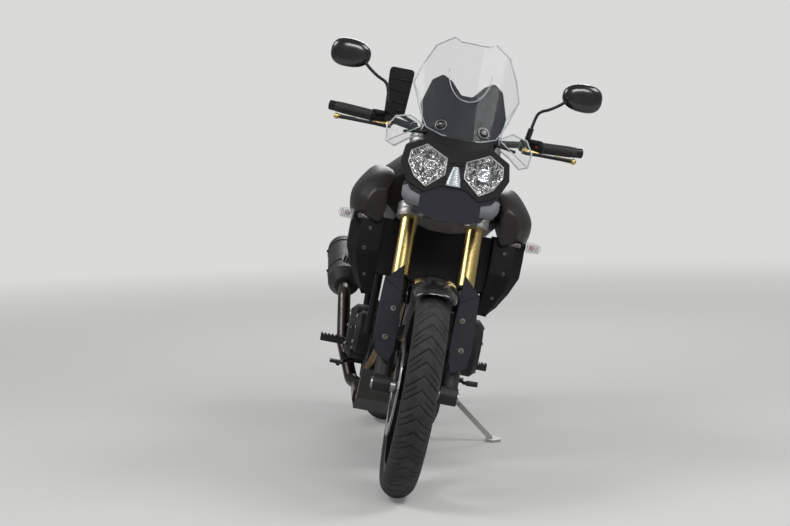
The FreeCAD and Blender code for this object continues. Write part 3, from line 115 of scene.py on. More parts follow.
class Value:
    """A shader socket that Python expressions work on; each operation adds a Math node."""

    def __init__(self, graph, socket):
        self.graph = graph
        self.socket = socket

    def maths(self, operation, first, second):
        return self.graph.make("ShaderNodeMath", {"operation": operation}, {0: first, 1: second})

    def __add__(self, other):
        return self.maths("ADD", self, other)

    def __radd__(self, other):
        return self.maths("ADD", other, self)

    def __sub__(self, other):
        return self.maths("SUBTRACT", self, other)

    def __rsub__(self, other):
        return self.maths("SUBTRACT", other, self)

    def __mul__(self, other):
        return self.maths("MULTIPLY", self, other)

    def __rmul__(self, other):
        return self.maths("MULTIPLY", other, self)

    def __pow__(self, other):
        return self.maths("POWER", self, other)

    def __gt__(self, other):
        return self.maths("GREATER_THAN", self, other)

    def __lt__(self, other):
        return self.maths("LESS_THAN", self, other)


class Graph:
    """Node tree of one material with a Principled shader at its end."""

    def __init__(self, name):
        self.material = bpy.data.materials.new(name)
        self.material.use_nodes = True
        self.tree = self.material.node_tree
        self.tree.nodes.clear()
        self.point = self.make("ShaderNodeTexCoord", output="Object")

    def node(self, kind, settings=None, inputs=None):
        """Adds a node: its settings first, then a value or a link for each named socket."""
        made = self.tree.nodes.new(kind)
        for name, value in (settings or {}).items():
            setattr(made, name, value)
        for name, value in (inputs or {}).items():
            if isinstance(value, Value):
                self.tree.links.new(value.socket, made.inputs[name])
            else:
                made.inputs[name].default_value = value
        return made

    def make(self, kind, settings=None, inputs=None, output=0):
        """Adds a node and gives one of its outputs."""
        return Value(self, self.node(kind, settings, inputs).outputs[output])

    def mix(self, factor, first, second):
        """Mix of two colours."""
        inputs = {0: factor, 6: rgba(first), 7: rgba(second)}
        return self.make("ShaderNodeMix", {"data_type": "RGBA"}, inputs, 2)

    def vector(self, operation, first, second, output=0):
        """Vector Math node."""
        return self.make("ShaderNodeVectorMath", {"operation": operation}, {0: first, 1: second}, output)

    def stretched(self, scale):
        """The point scaled unevenly, for grain that runs one way."""
        return self.vector("MULTIPLY", self.point, scale)

    def noise(self, scale, detail, roughness=0.5, point=None):
        """Noise between 0 and 1; scale is in cycles per metre."""
        inputs = {"Vector": point or self.point, "Scale": scale, "Detail": detail, "Roughness": roughness}
        return self.make("ShaderNodeTexNoise", None, inputs, "Fac")

    def cells(self, scale, point=None, feature="F1", output="Distance"):
        """Distance in a pattern of cells."""
        inputs = {"Vector": point or self.point, "Scale": scale}
        return self.make("ShaderNodeTexVoronoi", {"feature": feature}, inputs, output)

    def between(self, value, low, high, start=0.0, stop=1.0):
        """Value mapped from low..high to start..stop and clamped."""
        inputs = {"Value": value, "From Min": low, "From Max": high, "To Min": start, "To Max": stop}
        return self.make("ShaderNodeMapRange", None, inputs)

    def along(self, direction, origin=(0, 0, 0)):
        """Distance of the point along a direction from an origin, in metres."""
        offset = self.vector("SUBTRACT", self.point, tuple(origin))
        return self.vector("DOT_PRODUCT", offset, tuple(direction), "Value")

    def from_line(self, origin, direction):
        """Distance of the point from a line, in metres."""
        offset = self.vector("SUBTRACT", self.point, tuple(origin))
        across = self.vector("CROSS_PRODUCT", offset, tuple(direction))
        return self.vector("LENGTH", across, (0, 0, 0), "Value")

    def finish(self, colour, roughness, bump=None, depth=0.0005, **constants):
        """Ends the graph in a Principled shader; constants are its plain sockets."""
        inputs = {"Base Color": rgba(colour), "Roughness": roughness}
        if bump is not None:
            settings = {"Height": bump, "Distance": depth, "Strength": 1.0}
            inputs["Normal"] = self.make("ShaderNodeBump", None, settings, "Normal")
        for name, value in constants.items():
            inputs[name.replace("_", " ")] = value
        shader = self.node("ShaderNodeBsdfPrincipled", None, inputs)
        end = self.node("ShaderNodeOutputMaterial")
        self.tree.links.new(shader.outputs[0], end.inputs[0])
        return self.material


def rgba(colour):
    """A colour with its alpha, or a link as it is."""
    if isinstance(colour, Value):
        return colour
    return (*colour, 1.0) if len(colour) == 3 else colour


def darker(colour, share):
    """A colour scaled by a share."""
    return tuple(channel * share for channel in colour)


# Finishes

def moulded(name, colour, roughness, grain=1400.0, depth=0.00012):
    """Moulded plastic with a fine spark-eroded grain and faint dust in its hollows."""
    net = Graph(name)
    fine = net.cells(grain)
    cloud = net.noise(9.0, 4.0)
    dust = net.between(net.noise(34.0, 5.0, 0.6), 0.5, 0.75)
    tint = net.mix(cloud * 0.35, colour, darker(colour, 1.5))
    tint = net.mix(dust * 0.1, tint, (0.07, 0.065, 0.06))
    rough = roughness + cloud * 0.1 + dust * 0.08
    return net.finish(tint, rough, fine + net.noise(grain / 3, 2.0) * 0.6, depth, Specular_IOR_Level=0.18)


def coated(name, colour, roughness, peel=320.0, flake=0.0, metallic=0.0):
    """Paint or powder coat: orange peel, a breath of dust and, in metallic paint, fine flakes."""
    net = Graph(name)
    skin = net.noise(peel, 2.0)
    cloud = net.noise(6.0, 3.0)
    smear = net.between(net.noise(48.0, 6.0, 0.65), 0.52, 0.8)
    tint = net.mix(cloud * 0.3, colour, darker(colour, 1.35))
    if flake:
        sparkle = net.between(net.cells(5200.0, output="Color"), 0.62, 1.0)
        tint = net.mix(sparkle * flake, tint, darker(colour, 3.2))
    tint = net.mix(smear * 0.07, tint, (0.1, 0.095, 0.09))
    rough = roughness + smear * 0.14 + cloud * 0.04
    return net.finish(tint, rough, skin, 0.00008, Metallic=metallic, Specular_IOR_Level=0.25)


def gloss(name, colour, roughness):
    """Glossy moulded plastic with polishing swirls and a little dust."""
    net = Graph(name)
    swirl = net.noise(26.0, 5.0, 0.7)
    specks = net.between(net.noise(260.0, 3.0, 0.6), 0.64, 0.78)
    tint = net.mix(specks * 0.3, colour, (0.2, 0.19, 0.18))
    rough = roughness + net.between(swirl, 0.4, 0.8) * 0.12 + specks * 0.3
    return net.finish(tint, rough, net.noise(120.0, 2.0), 0.00005, Coat_Weight=0.6, Coat_Roughness=0.04)


def cast(name, colour, roughness, metallic, depth=0.0003):
    """Cast metal with a pebbled skin and darker hollows."""
    net = Graph(name)
    skin = net.noise(420.0, 4.0, 0.6)
    blotch = net.noise(18.0, 4.0, 0.6)
    grime = net.between(net.noise(40.0, 6.0, 0.7), 0.5, 0.72)
    tint = net.mix(net.between(blotch, 0.3, 0.7) * 0.5, darker(colour, 0.75), darker(colour, 1.2))
    tint = net.mix(grime * 0.35, tint, (0.05, 0.045, 0.04))
    rough = roughness + blotch * 0.12 + grime * 0.1
    return net.finish(tint, rough, skin + net.cells(714.0) * 0.4, depth, Metallic=metallic)


def brushed(name, colour, roughness, direction, metallic=1.0, tint=None):
    """Metal with fine lines that run along a direction of the row frame."""
    net = Graph(name)
    way = Vector(direction).normalized()
    along = net.along(way)
    side = way.cross(Z if abs(way.z) < 0.8 else X).normalized()
    other = way.cross(side)
    point = net.make("ShaderNodeCombineXYZ", None,
                   {0: along * 14.0, 1: net.along(side) * 1900.0, 2: net.along(other) * 1900.0})
    lines = net.noise(1.0, 3.0, 0.6, point)
    smear = net.between(net.noise(30.0, 5.0, 0.6), 0.45, 0.8)
    body = net.mix(lines * 0.35, darker(colour, 0.82), darker(colour, 1.12))
    if tint is not None:
        body = net.mix(smear * 0.4, body, tint)
    return net.finish(body, roughness + lines * 0.16 + smear * 0.1, lines, 0.00006, Metallic=metallic)


def turned(name, colour, roughness, hub, polish):
    """Metal with lines round an axle, brighter between two radii where pads rub it."""
    net = Graph(name)
    away = net.from_line(hub, ACROSS)
    inputs = {"W": away * 2600.0, "Scale": 1.0, "Detail": 3.0}
    rings = net.make("ShaderNodeTexNoise", {"noise_dimensions": "1D"}, inputs, "Fac")
    low, high = polish
    swept = (away > low) * (away < high)
    tint = net.mix(rings * 0.5, darker(colour, 0.8), darker(colour, 1.15))
    tint = net.mix((1 - swept) * 0.35, tint, darker(colour, 0.45))
    blotch = net.noise(22.0, 4.0, 0.6)
    return net.finish(tint, roughness + rings * 0.14 + blotch * 0.12, rings, 0.00008, Metallic=1.0)


def anodised(name, colour, roughness):
    """Anodised fork tube: smooth colour, hairlines along the leg and a soft variation."""
    net = Graph(name)
    leg = Vector(JOINTS["steering_turn"]["axis"])
    point = net.make("ShaderNodeCombineXYZ", None,
                   {0: net.along(leg) * 20.0, 1: net.along(X) * 1500.0, 2: net.along(ACROSS) * 1500.0})
    lines = net.noise(1.0, 2.0, 0.5, point)
    cloud = net.noise(14.0, 3.0)
    tint = net.mix(cloud * 0.5, darker(colour, 0.85), darker(colour, 1.15))
    return net.finish(tint, roughness + lines * 0.1 + cloud * 0.06, lines, 0.00003, Metallic=1.0,
                    Coat_Weight=0.4, Coat_Roughness=0.12)


def heated(name, near, far):
    """Header steel, straw near the engine and browner and bluer further down."""
    net = Graph(name)
    height = net.between(net.along(UP, GROUND_MIDDLE), 0.18, 0.64)
    ripple = net.noise(13.0, 5.0, 0.6)
    band = net.between(height + ripple * 0.35, 0.35, 1.1)
    tint = net.mix(band, far, near)
    tint = net.mix(net.between(ripple, 0.55, 0.75) * 0.4, tint, (0.13, 0.12, 0.15))
    soot = net.between(net.noise(90.0, 6.0, 0.7), 0.5, 0.8)
    tint = net.mix(soot * 0.3, tint, (0.06, 0.05, 0.045))
    return net.finish(tint, 0.28 + soot * 0.22, net.noise(300.0, 3.0), 0.0001, Metallic=0.9)


def rubber(name, colour, roughness, dusty=0.3):
    """Rubber with a fine skin and road dust."""
    net = Graph(name)
    dust = net.between(net.noise(22.0, 6.0, 0.65), 0.42, 0.75)
    tint = net.mix(dust * dusty, colour, (0.13, 0.12, 0.11))
    return net.finish(tint, roughness + dust * 0.12, net.noise(900.0, 3.0, 0.6), 0.00015)


def cover(name, colour):
    """Seat cover with a pebbled grain of cells and soft wear where a rider sits."""
    net = Graph(name)
    grain = net.cells(620.0, feature="SMOOTH_F1")
    worn = net.between(net.noise(7.0, 4.0, 0.5), 0.4, 0.7)
    tint = net.mix(worn * 0.35, colour, darker(colour, 1.6))
    tint = net.mix(net.between(grain, 0.0, 0.25) * 0.3, darker(colour, 0.7), tint)
    rough = 0.52 - worn * 0.1 + net.noise(160.0, 3.0) * 0.12
    return net.finish(tint, rough, grain + net.noise(1500.0, 2.0) * 0.3, 0.0002)


def clear(name, colour, alpha):
    """Clear moulding: hairline scratches and dust on a see-through skin."""
    net = Graph(name)
    scratch = net.between(net.noise(18.0, 8.0, 0.75, net.stretched((1.0, 60.0, 3.0))), 0.6, 0.7)
    dust = net.between(net.noise(70.0, 5.0, 0.6), 0.5, 0.8)
    rim = net.make("ShaderNodeLayerWeight", None, {"Blend": 0.25}, "Facing")
    veil = alpha + (rim ** 2.0) * 0.5 + scratch * 0.05 + dust * 0.02
    tint = net.mix(dust * 0.3, colour, (0.85, 0.85, 0.83))
    return net.finish(tint, 0.03 + dust * 0.06, net.noise(24.0, 1.0), 0.00001, Alpha=veil, IOR=1.49,
                    Specular_IOR_Level=0.8)


def reflector(name, colour):
    """Silvered reflector broken into small facets, each painted a random brightness as a painted reflection, with
    thin dark lines of painted shade between them.
    """
    net = Graph(name)
    upright_cells = net.stretched((1.0, 1.0, 0.7))
    # Painted reflection: the silver of each of the small facets is set to its own brightness, from dark to full.
    painted_facet_reflection = net.cells(130.0, upright_cells, output="Color")
    tint = net.mix(net.between(painted_facet_reflection, 0.1, 0.6) * 0.9, darker(colour, 0.16), colour)
    # Painted shade: thin near-black lines drawn through the silver between the facets.
    painted_slot_shade = net.between(net.noise(1.0, 1.0, 0.3, net.stretched((60.0, 150.0, 75.0))), 0.56, 0.6)
    tint = net.mix(painted_slot_shade * 0.92, tint, darker(colour, 0.03))
    rough = 0.16 + net.noise(90.0, 2.0) * 0.12
    return net.finish(tint, rough, net.cells(130.0, upright_cells), 0.004, Metallic=1.0)


def polished(name, colour):
    """Silvered glass with a few wiping marks."""
    net = Graph(name)
    wipe = net.between(net.noise(30.0, 6.0, 0.7, net.stretched((1.0, 4.0, 1.0))), 0.5, 0.8)
    tint = net.mix(wipe * 0.2, colour, darker(colour, 0.7))
    return net.finish(tint, 0.02 + wipe * 0.08, net.noise(40.0, 2.0), 0.00003, Metallic=1.0)


FINISHES = {
    "tyre_rubber": lambda name, hues: rubber(name, hues.tyre, 0.72),
    "wheel_black": lambda name, hues: coated(name, hues.black, 0.34),
    "disc_steel": lambda name, hues: turned(name, hues.steel, 0.24, FRONT_HUB, polish=(0.115, 0.16)),
    "rear_disc_steel": lambda name, hues: turned(name, hues.steel, 0.24, REAR_HUB, polish=(0.088, 0.13)),
    "machined_steel": lambda name, hues: brushed(name, hues.steel, 0.3, ACROSS),
    "gold_anodised": lambda name, hues: anodised(name, hues.gold, 0.2),
    "cast_dark": lambda name, hues: cast(name, darker(hues.casting, 0.22), 0.46, 0.25),
    "cast_silver": lambda name, hues: cast(name, hues.silver, 0.38, 0.9, depth=0.0002),
    "bar_black": lambda name, hues: coated(name, hues.black, 0.36),
    "grip_rubber": lambda name, hues: rubber(name, hues.tyre, 0.62, dusty=0.15),
    "black_plastic": lambda name, hues: moulded(name, hues.plastic, 0.5),
    "gloss_black": lambda name, hues: gloss(name, hues.black, 0.2),
    "blue_black_plastic": lambda name, hues: moulded(name, hues.guard, 0.44, grain=1900.0, depth=0.00006),
    "frame_black": lambda name, hues: coated(name, hues.black, 0.4, peel=500.0),
    "engine_black": lambda name, hues: cast(name, hues.engine, 0.5, 0.35),
    "brushed_aluminium": lambda name, hues: brushed(name, darker(hues.silver, 0.2), 0.5, X, metallic=0.7),
    "bolt_steel": lambda name, hues: brushed(name, hues.silver, 0.3, ACROSS),
    "cheek_grey": lambda name, hues: moulded(name, hues.cheek, 0.4, grain=2100.0, depth=0.00005),
    "mirror_glass": lambda name, hues: polished(name, (0.8, 0.82, 0.84)),
    "orange_plastic": lambda name, hues: gloss(name, hues.orange, 0.1),
    "radiator_black": lambda name, hues: coated(name, hues.black, 0.6, peel=700.0),
    "header_bronze": lambda name, hues: heated(name, (0.42, 0.3, 0.17), (0.2, 0.13, 0.085)),
    "exhaust_black": lambda name, hues: heated(name, (0.1, 0.085, 0.07), (0.055, 0.05, 0.045)),
    "silencer_steel": lambda name, hues: brushed(name, darker(hues.casting, 0.4), 0.45, X, metallic=0.4,
                                              tint=(0.05, 0.045, 0.04)),
    "chain_steel": lambda name, hues: cast(name, (0.16, 0.15, 0.13), 0.38, 0.9, depth=0.0001),
    "graphite_paint": lambda name, hues: coated(name, hues.graphite, 0.36, flake=0.35, metallic=0.35),
    "seat_cover": lambda name, hues: cover(name, hues.seat),
    "red_lens": lambda name, hues: gloss(name, hues.red, 0.08),
    "lamp_reflector": lambda name, hues: reflector(name, (0.96, 0.96, 0.95)),
    "clear_lens": lambda name, hues: clear(name, (0.8, 0.84, 0.86), 0.03),
    "clear_screen": lambda name, hues: clear(name, (0.2, 0.23, 0.25), 0.06),
    "clear_edge": lambda name, hues: gloss(name, (0.42, 0.47, 0.48), 0.05),
    "indicator_lens": lambda name, hues: clear(name, (0.7, 0.66, 0.62), 0.2),
}
MADE = {}


def finish_of(slot):
    """Material of a slot, made when first asked for."""
    if slot not in MADE:
        MADE[slot] = FINISHES[slot](slot, bpy.context.scene.motorcycle_colours)
    return MADE[slot]


# Mesh helpers

def object_from(name, solid):
    """Linked object whose mesh is taken from a bmesh."""
    mesh = bpy.data.meshes.new(name)
    solid.to_mesh(mesh)
    solid.free()
    obj = bpy.data.objects.new(name, mesh)
    bpy.context.scene.collection.objects.link(obj)
    return obj


def piece(name, solid, body, slot, replaces=(), smooth=True):
    """Turns a bmesh in upright millimetres into a piece, rides it on a body and names its finish."""
    obj = object_from(name, solid)
    obj.data.transform(STANCE)
    if smooth:
        obj.data.shade_smooth()
    else:
        obj.data.shade_flat()
    obj.data.materials.append(finish_of(slot))
    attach(obj, body)
    if replaces:
        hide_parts(*replaces)


def solids(count):
    """Empty bmeshes, one for each piece that is begun."""
    return [bmesh.new() for made in range(count)]


def on_leg(forward, side, up):
    """Upright point from fork-leg coordinates."""
    return FORK @ Vector((forward, side, up))


def on_side(point, side):
    """A point of the left half when side is 1, or its mirror image in the right half."""
    return Vector((point[0], side * point[1], point[2]))


def round_axle(angle, radius=1.0, y=0.0):
    """Offset from an axle at an angle and a radius."""
    return Vector((radius * math.cos(angle), y, radius * math.sin(angle)))


def skin(solid, rows, caps=True, loop=False):
    """Quads between closed rows of points; caps close the ends and loop joins the last row to the first."""
    made = [[solid.verts.new(point) for point in row] for row in rows]
    pairs = list(zip(made, made[1:])) + ([(made[-1], made[0])] if loop else [])
    for first, second in pairs:
        for i, corner in enumerate(first):
            ahead = (i + 1) % len(first)
            solid.faces.new((corner, first[ahead], second[ahead], second[i]))
    if caps and not loop:
        solid.faces.new(list(reversed(made[0])))
        solid.faces.new(made[-1])


def circle(centre, side, other, radius, count):
    """Points of a circle that two unit vectors span."""
    points = []
    for i in range(count):
        angle = 2 * math.pi * i / count
        points.append(centre + side * (radius * math.cos(angle)) + other * (radius * math.sin(angle)))
    return points


def ring(centre, axis, radius, count):
    """Points of a circle about an axis."""
    axis = Vector(axis).normalized()
    side = axis.orthogonal().normalized()
    return circle(Vector(centre), side, axis.cross(side), radius, count)


def lathe(solid, base, axis, profile, count):
    """Solid of revolution from (height, radius) pairs along an axis."""
    axis = Vector(axis).normalized()
    skin(solid, [ring(Vector(base) + axis * height, axis, radius, count) for height, radius in profile])


def bolt(solid, place, axis, radius, height):
    """Cap screw with a chamfered head and a socket."""
    profile = [(-1, radius), (height * 0.75, radius), (height, radius * 0.8), (height, radius * 0.5),
               (height * 0.4, radius * 0.42)]
    lathe(solid, place, axis, profile, 12)


def tube(solid, points, radius, count, loop=False):
    """Round section swept along points; radius may be one value or one for each point."""
    points = [Vector(point) for point in points]
    last = len(points) - 1
    radii = radius if isinstance(radius, (list, tuple)) else [radius] * len(points)
    side = None
    rows = []
    for i, point in enumerate(points):
        before = points[i - 1] if (i or loop) else point
        after = points[(i + 1) % len(points)] if (i < last or loop) else point
        way = (after - before).normalized()
        if side is None:
            side = way.orthogonal()
        side = (side - way * side.dot(way)).normalized()
        rows.append(circle(point, side, way.cross(side), radii[i], count))
    skin(solid, rows, loop=loop)


def soften(solid, radius, angle=30.0):
    """Rounds every edge sharper than an angle."""
    solid.normal_update()
    edges = [edge for edge in solid.edges if len(edge.link_faces) == 2
             and edge.calc_face_angle(0.0) > math.radians(angle)]
    bmesh.ops.bevel(solid, geom=edges, offset=radius, segments=2, affect="EDGES", clamp_overlap=True)


def block(solid, first, second):
    """Box between two opposite corners."""
    low = [min(pair) for pair in zip(first, second)]
    high = [max(pair) for pair in zip(first, second)]
    corners = [(low[0], low[1]), (high[0], low[1]), (high[0], high[1]), (low[0], high[1])]
    plate(solid, [(x, y, low[2]) for x, y in corners], (0, 0, high[2] - low[2]))


def plate(solid, outline, push):
    """Flat solid from an outline pushed along a vector."""
    push = Vector(push)
    skin(solid, [[Vector(point) for point in outline], [Vector(point) + push for point in outline]])


def curve_point(corners, t):
    """Point of the Catmull-Rom curve between the middle two of four points."""
    a, b, c, d = corners
    return 0.5 * (2 * b + (c - a) * t + (2 * a - 5 * b + 4 * c - d) * t ** 2
                  + (3 * b - a - 3 * c + d) * t ** 3)


def smooth_path(points, steps):
    """Curve through points, with a number of steps between each two."""
    points = [Vector(point) for point in points]
    ends = [points[0] * 2 - points[1]] + points + [points[-1] * 2 - points[-2]]
    path = []
    for i in range(len(points) - 1):
        path += [curve_point(ends[i:i + 4], k / steps) for k in range(steps)]
    return path + [points[-1]]


def smooth_loop(corners, steps):
    """Closed curve through a section's corners."""
    corners = [Vector(corner) for corner in corners]
    loop = []
    for i in range(len(corners)):
        four = [corners[(i + k) % len(corners)] for k in (-1, 0, 1, 2)]
        loop += [curve_point(four, k / steps) for k in range(steps)]
    return loop


def coil(base, way, low, length, radius, turns, steps):
    """Points of a coil about a line, from one height on it over a length."""
    side = way.orthogonal().normalized()
    other = way.cross(side)
    count = turns * steps
    path = []
    for i in range(count + 1):
        angle = 2 * math.pi * i / steps
        out = side * math.cos(angle) + other * math.sin(angle)
        path.append(base + way * (low + length * i / count) + out * radius)
    return path


def surface_of(mesh):
    """Search tree over a placed mesh, in upright millimetres."""
    corners = [INTO_UPRIGHT @ vertex.co for vertex in mesh.vertices]
    return BVHTree.FromPolygons(corners, [tuple(face.vertices) for face in mesh.polygons])


def seat_on(tree, start, way):
    """Where a ray first meets a surface, and its normal there turned to face the ray."""
    place, normal = tree.ray_cast(Vector(start), Vector(way).normalized())[:2]
    if place is None:
        raise RuntimeError("nothing to seat a piece on")
    return place, (-normal if normal.dot(Vector(way)) > 0 else normal)


# Settings

class MotorcycleColours(bpy.types.PropertyGroup):
    """Base colours of the finishes, linear."""

    def swatch(name, description, default):
        return FloatVectorProperty(name=name, description=description, default=default, size=3,
                                   min=0.0, max=1.0, subtype="COLOR")

    tyre: swatch("Tyre", "Rubber of the tyres and grips", (0.012, 0.012, 0.0125))
    black: swatch("Black paint", "Paint of the wheels, frame and bars", (0.008, 0.008, 0.009))
    plastic: swatch("Plastic", "Moulded black plastic", (0.007, 0.007, 0.0075))
    guard: swatch("Guards", "Blue-black plastic of the fork guards", (0.009, 0.0098, 0.0165))
    graphite: swatch("Graphite", "Matt paint of the tank and panels", (0.028, 0.0265, 0.0255))
    gold: swatch("Gold", "Anodised fork tubes and lever ends", (0.68, 0.52, 0.2))
    silver: swatch("Silver", "Cast yokes and aluminium", (0.42, 0.41, 0.4))
    steel: swatch("Steel", "Discs, axles and pegs", (0.56, 0.55, 0.54))
    casting: swatch("Dark casting", "Fork feet and silencer", (0.1, 0.1, 0.1))
    engine: swatch("Engine", "Coated engine cases", (0.016, 0.016, 0.0165))
    cheek: swatch("Cheeks", "Grey plastic beside the headlamps", (0.16, 0.165, 0.175))
    orange: swatch("Orange", "Indicator bulbs and the stop switch", (0.8, 0.12, 0.02))
    seat: swatch("Seat", "Seat cover", (0.012, 0.012, 0.0125))
    red: swatch("Red lens", "Tail lamp", (0.35, 0.01, 0.012))


class MotorcycleStage(bpy.types.PropertyGroup):
    """Viewpoint and light."""

    lens: FloatProperty(name="Focal length", description="On a sensor 36 mm wide", default=104.8, min=1.0)
    distance: FloatProperty(name="Distance", description="Camera ahead of the origin", default=7.6594,
                            unit="LENGTH")
    side: FloatProperty(name="Sideways", description="Camera to the rider's left", default=-0.4339,
                        unit="LENGTH")
    height: FloatProperty(name="Height", description="Camera above the floor", default=1.299, unit="LENGTH")
    yaw: FloatProperty(name="Yaw", description="Turn about the vertical", default=-0.030, unit="ROTATION")
    pitch: FloatProperty(name="Pitch", description="Tilt downwards", default=0.0852, unit="ROTATION")
    roll: FloatProperty(name="Roll", description="Turn about the view", default=-0.025, unit="ROTATION")
    key: FloatProperty(name="Key light", description="Power of each large softbox", default=80.0,
                       unit="POWER")


# Stage

def softbox(name, place, aim, size, power):
    """Rectangular area light aimed at a point."""
    lamp = bpy.data.lights.new(name, "AREA")
    lamp.shape = "RECTANGLE"
    lamp.size, lamp.size_y = size
    lamp.energy = power
    obj = bpy.data.objects.new(name, lamp)
    obj.location = place
    obj.rotation_euler = (Vector(aim) - Vector(place)).to_track_quat("-Z", "Y").to_euler()
    bpy.context.scene.collection.objects.link(obj)


def camera(settings):
    """Camera at the photograph's angle."""
    yaw, pitch, roll = settings.yaw, settings.pitch, settings.roll
    ahead = Vector((-math.cos(yaw) * math.cos(pitch), -math.sin(yaw) * math.cos(pitch), -math.sin(pitch)))
    level = Vector((-math.sin(yaw), math.cos(yaw), 0))
    upward = level.cross(ahead)
    right = level * math.cos(roll) + upward * math.sin(roll)
    top = upward * math.cos(roll) - level * math.sin(roll)
    data = bpy.data.cameras.new("viewpoint")
    data.sensor_width = 36
    data.sensor_fit = "HORIZONTAL"
    data.lens = settings.lens
    data.clip_end = 100
    obj = bpy.data.objects.new("viewpoint", data)
    turn = Matrix((right, top, -ahead)).transposed().to_4x4()
    obj.matrix_world = Matrix.Translation((settings.distance, settings.side, settings.height)) @ turn
    bpy.context.scene.collection.objects.link(obj)
    bpy.context.scene.camera = obj


GLOSSY_SHARE = 0.3
PALE = (0.7, 0.7, 0.69)
LIT_SHARE = 0.18
FLOOR_HALF = 30
WALL_RADIUS = 26
SOFTBOXES = (
    # name, place, aim, size, share of the key light
    ("overhead_left", (1.2, 2.6, 3.6), (0, 0, 0.6), (2.4, 1.4), 1.0),
    ("overhead_right", (0.8, -2.8, 3.4), (0, 0, 0.6), (2.4, 1.4), 0.9),
    ("front_high", (4.6, 0.6, 3.2), (0.4, 0, 0.8), (2.2, 1.2), 1.0),
    ("rear_high", (-4.0, 0.4, 2.8), (-0.4, 0, 0.6), (2.2, 1.2), 0.7),
)


def backdrop_material(name, near, far):
    """Plain pale surface: lit and shadowed near the machine, one even pale shade beyond."""
    net = Graph(name)
    path = net.node("ShaderNodeLightPath")
    rays = ("Is Camera Ray", "Is Glossy Ray", "Is Transmission Ray")
    camera_ray, glossy_ray, clear_ray = (Value(net, path.outputs[ray]) for ray in rays)
    diffuse = net.make("ShaderNodeBsdfDiffuse", None, {"Color": rgba(darker(PALE, 0.86))})
    even = net.make("ShaderNodeEmission", None, {"Color": rgba(PALE), "Strength": 1.0})
    away = net.vector("LENGTH", net.point, (0, 0, 0), "Value")
    inputs = {0: camera_ray + glossy_ray * GLOSSY_SHARE, 1: clear_ray}
    seen = net.make("ShaderNodeMath", {"operation": "ADD", "use_clamp": True}, inputs)
    factor = seen * net.between(away, near, far, LIT_SHARE, 1.0)
    mixed = net.make("ShaderNodeMixShader", None, {0: factor, 1: diffuse, 2: even})
    end = net.node("ShaderNodeOutputMaterial")
    net.tree.links.new(mixed.socket, end.inputs[0])
    return net.material


class MOTORCYCLE_OT_stage(bpy.types.Operator):
    """Floor, light and camera."""

    bl_idname = "motorcycle.stage"
    bl_label = "Stage"

    def execute(self, context):
        settings = context.scene.motorcycle_stage
        scene = context.scene
        scene.view_settings.view_transform = "Standard"
        camera(settings)
        world = bpy.data.worlds.new("studio")
        world.use_nodes = True
        background = world.node_tree.nodes["Background"]
        background.inputs["Color"].default_value = (0.78, 0.79, 0.8, 1)
        background.inputs["Strength"].default_value = 0.3
        scene.world = world
        floor, wall = solids(2)
        bmesh.ops.create_grid(floor, x_segments=1, y_segments=1, size=FLOOR_HALF)
        skin(wall, [ring((0, 0, height), Z, WALL_RADIUS, 96) for height in (-0.2, 16)], caps=False)
        for name, solid, near, far in (("floor", floor, 2.0, 7.5), ("backdrop", wall, 1.0, 2.0)):
            obj = object_from(name, solid)
            obj.data.materials.append(backdrop_material("pale_" + name, near, far))
        for name, place, aim, size, share in SOFTBOXES:
            softbox(name, place, aim, size, settings.key * share)
        return {"FINISHED"}


class MOTORCYCLE_OT_finishes(bpy.types.Operator):
    """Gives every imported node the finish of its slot."""

    bl_idname = "motorcycle.finishes"
    bl_label = "Finishes"

    def execute(self, context):
        for name, obj in frame["nodes"].items():
            obj.data.materials.clear()
            obj.data.materials.append(finish_of(SLOTS[name]))
        return {"FINISHED"}


TREADS = (
    # node, body, hub, radius, width, rise, bead, half rim, pitches, groove width
    ("front_tyre", "front_wheel", FRONT_AXLE, 331, 104, 44, 246, 38, 50, 4.5),
    ("rear_tyre", "rear_wheel", REAR_AXLE, 321, 150, 55, 222, 56, 44, 6.0),
)


def arc_through(first, middle, last, count):
    """Points of the arc through three points of a plane."""
    ax, ay = first
    bx, by = middle
    cx, cy = last
    scale = 2 * (ax * (by - cy) + bx * (cy - ay) + cx * (ay - by))
    a, b, c = ax * ax + ay * ay, bx * bx + by * by, cx * cx + cy * cy
    x = (a * (by - cy) + b * (cy - ay) + c * (ay - by)) / scale
    y = (a * (cx - bx) + b * (ax - cx) + c * (bx - ax)) / scale
    radius = math.hypot(ax - x, ay - y)
    start = math.atan2(ay - y, ax - x)
    span = math.atan2(cy - y, cx - x) - start
    span = (span + math.pi) % (2 * math.pi) - math.pi
    angles = [start + span * i / count for i in range(count + 1)]
    return [(x + radius * math.cos(angle), y + radius * math.sin(angle)) for angle in angles]


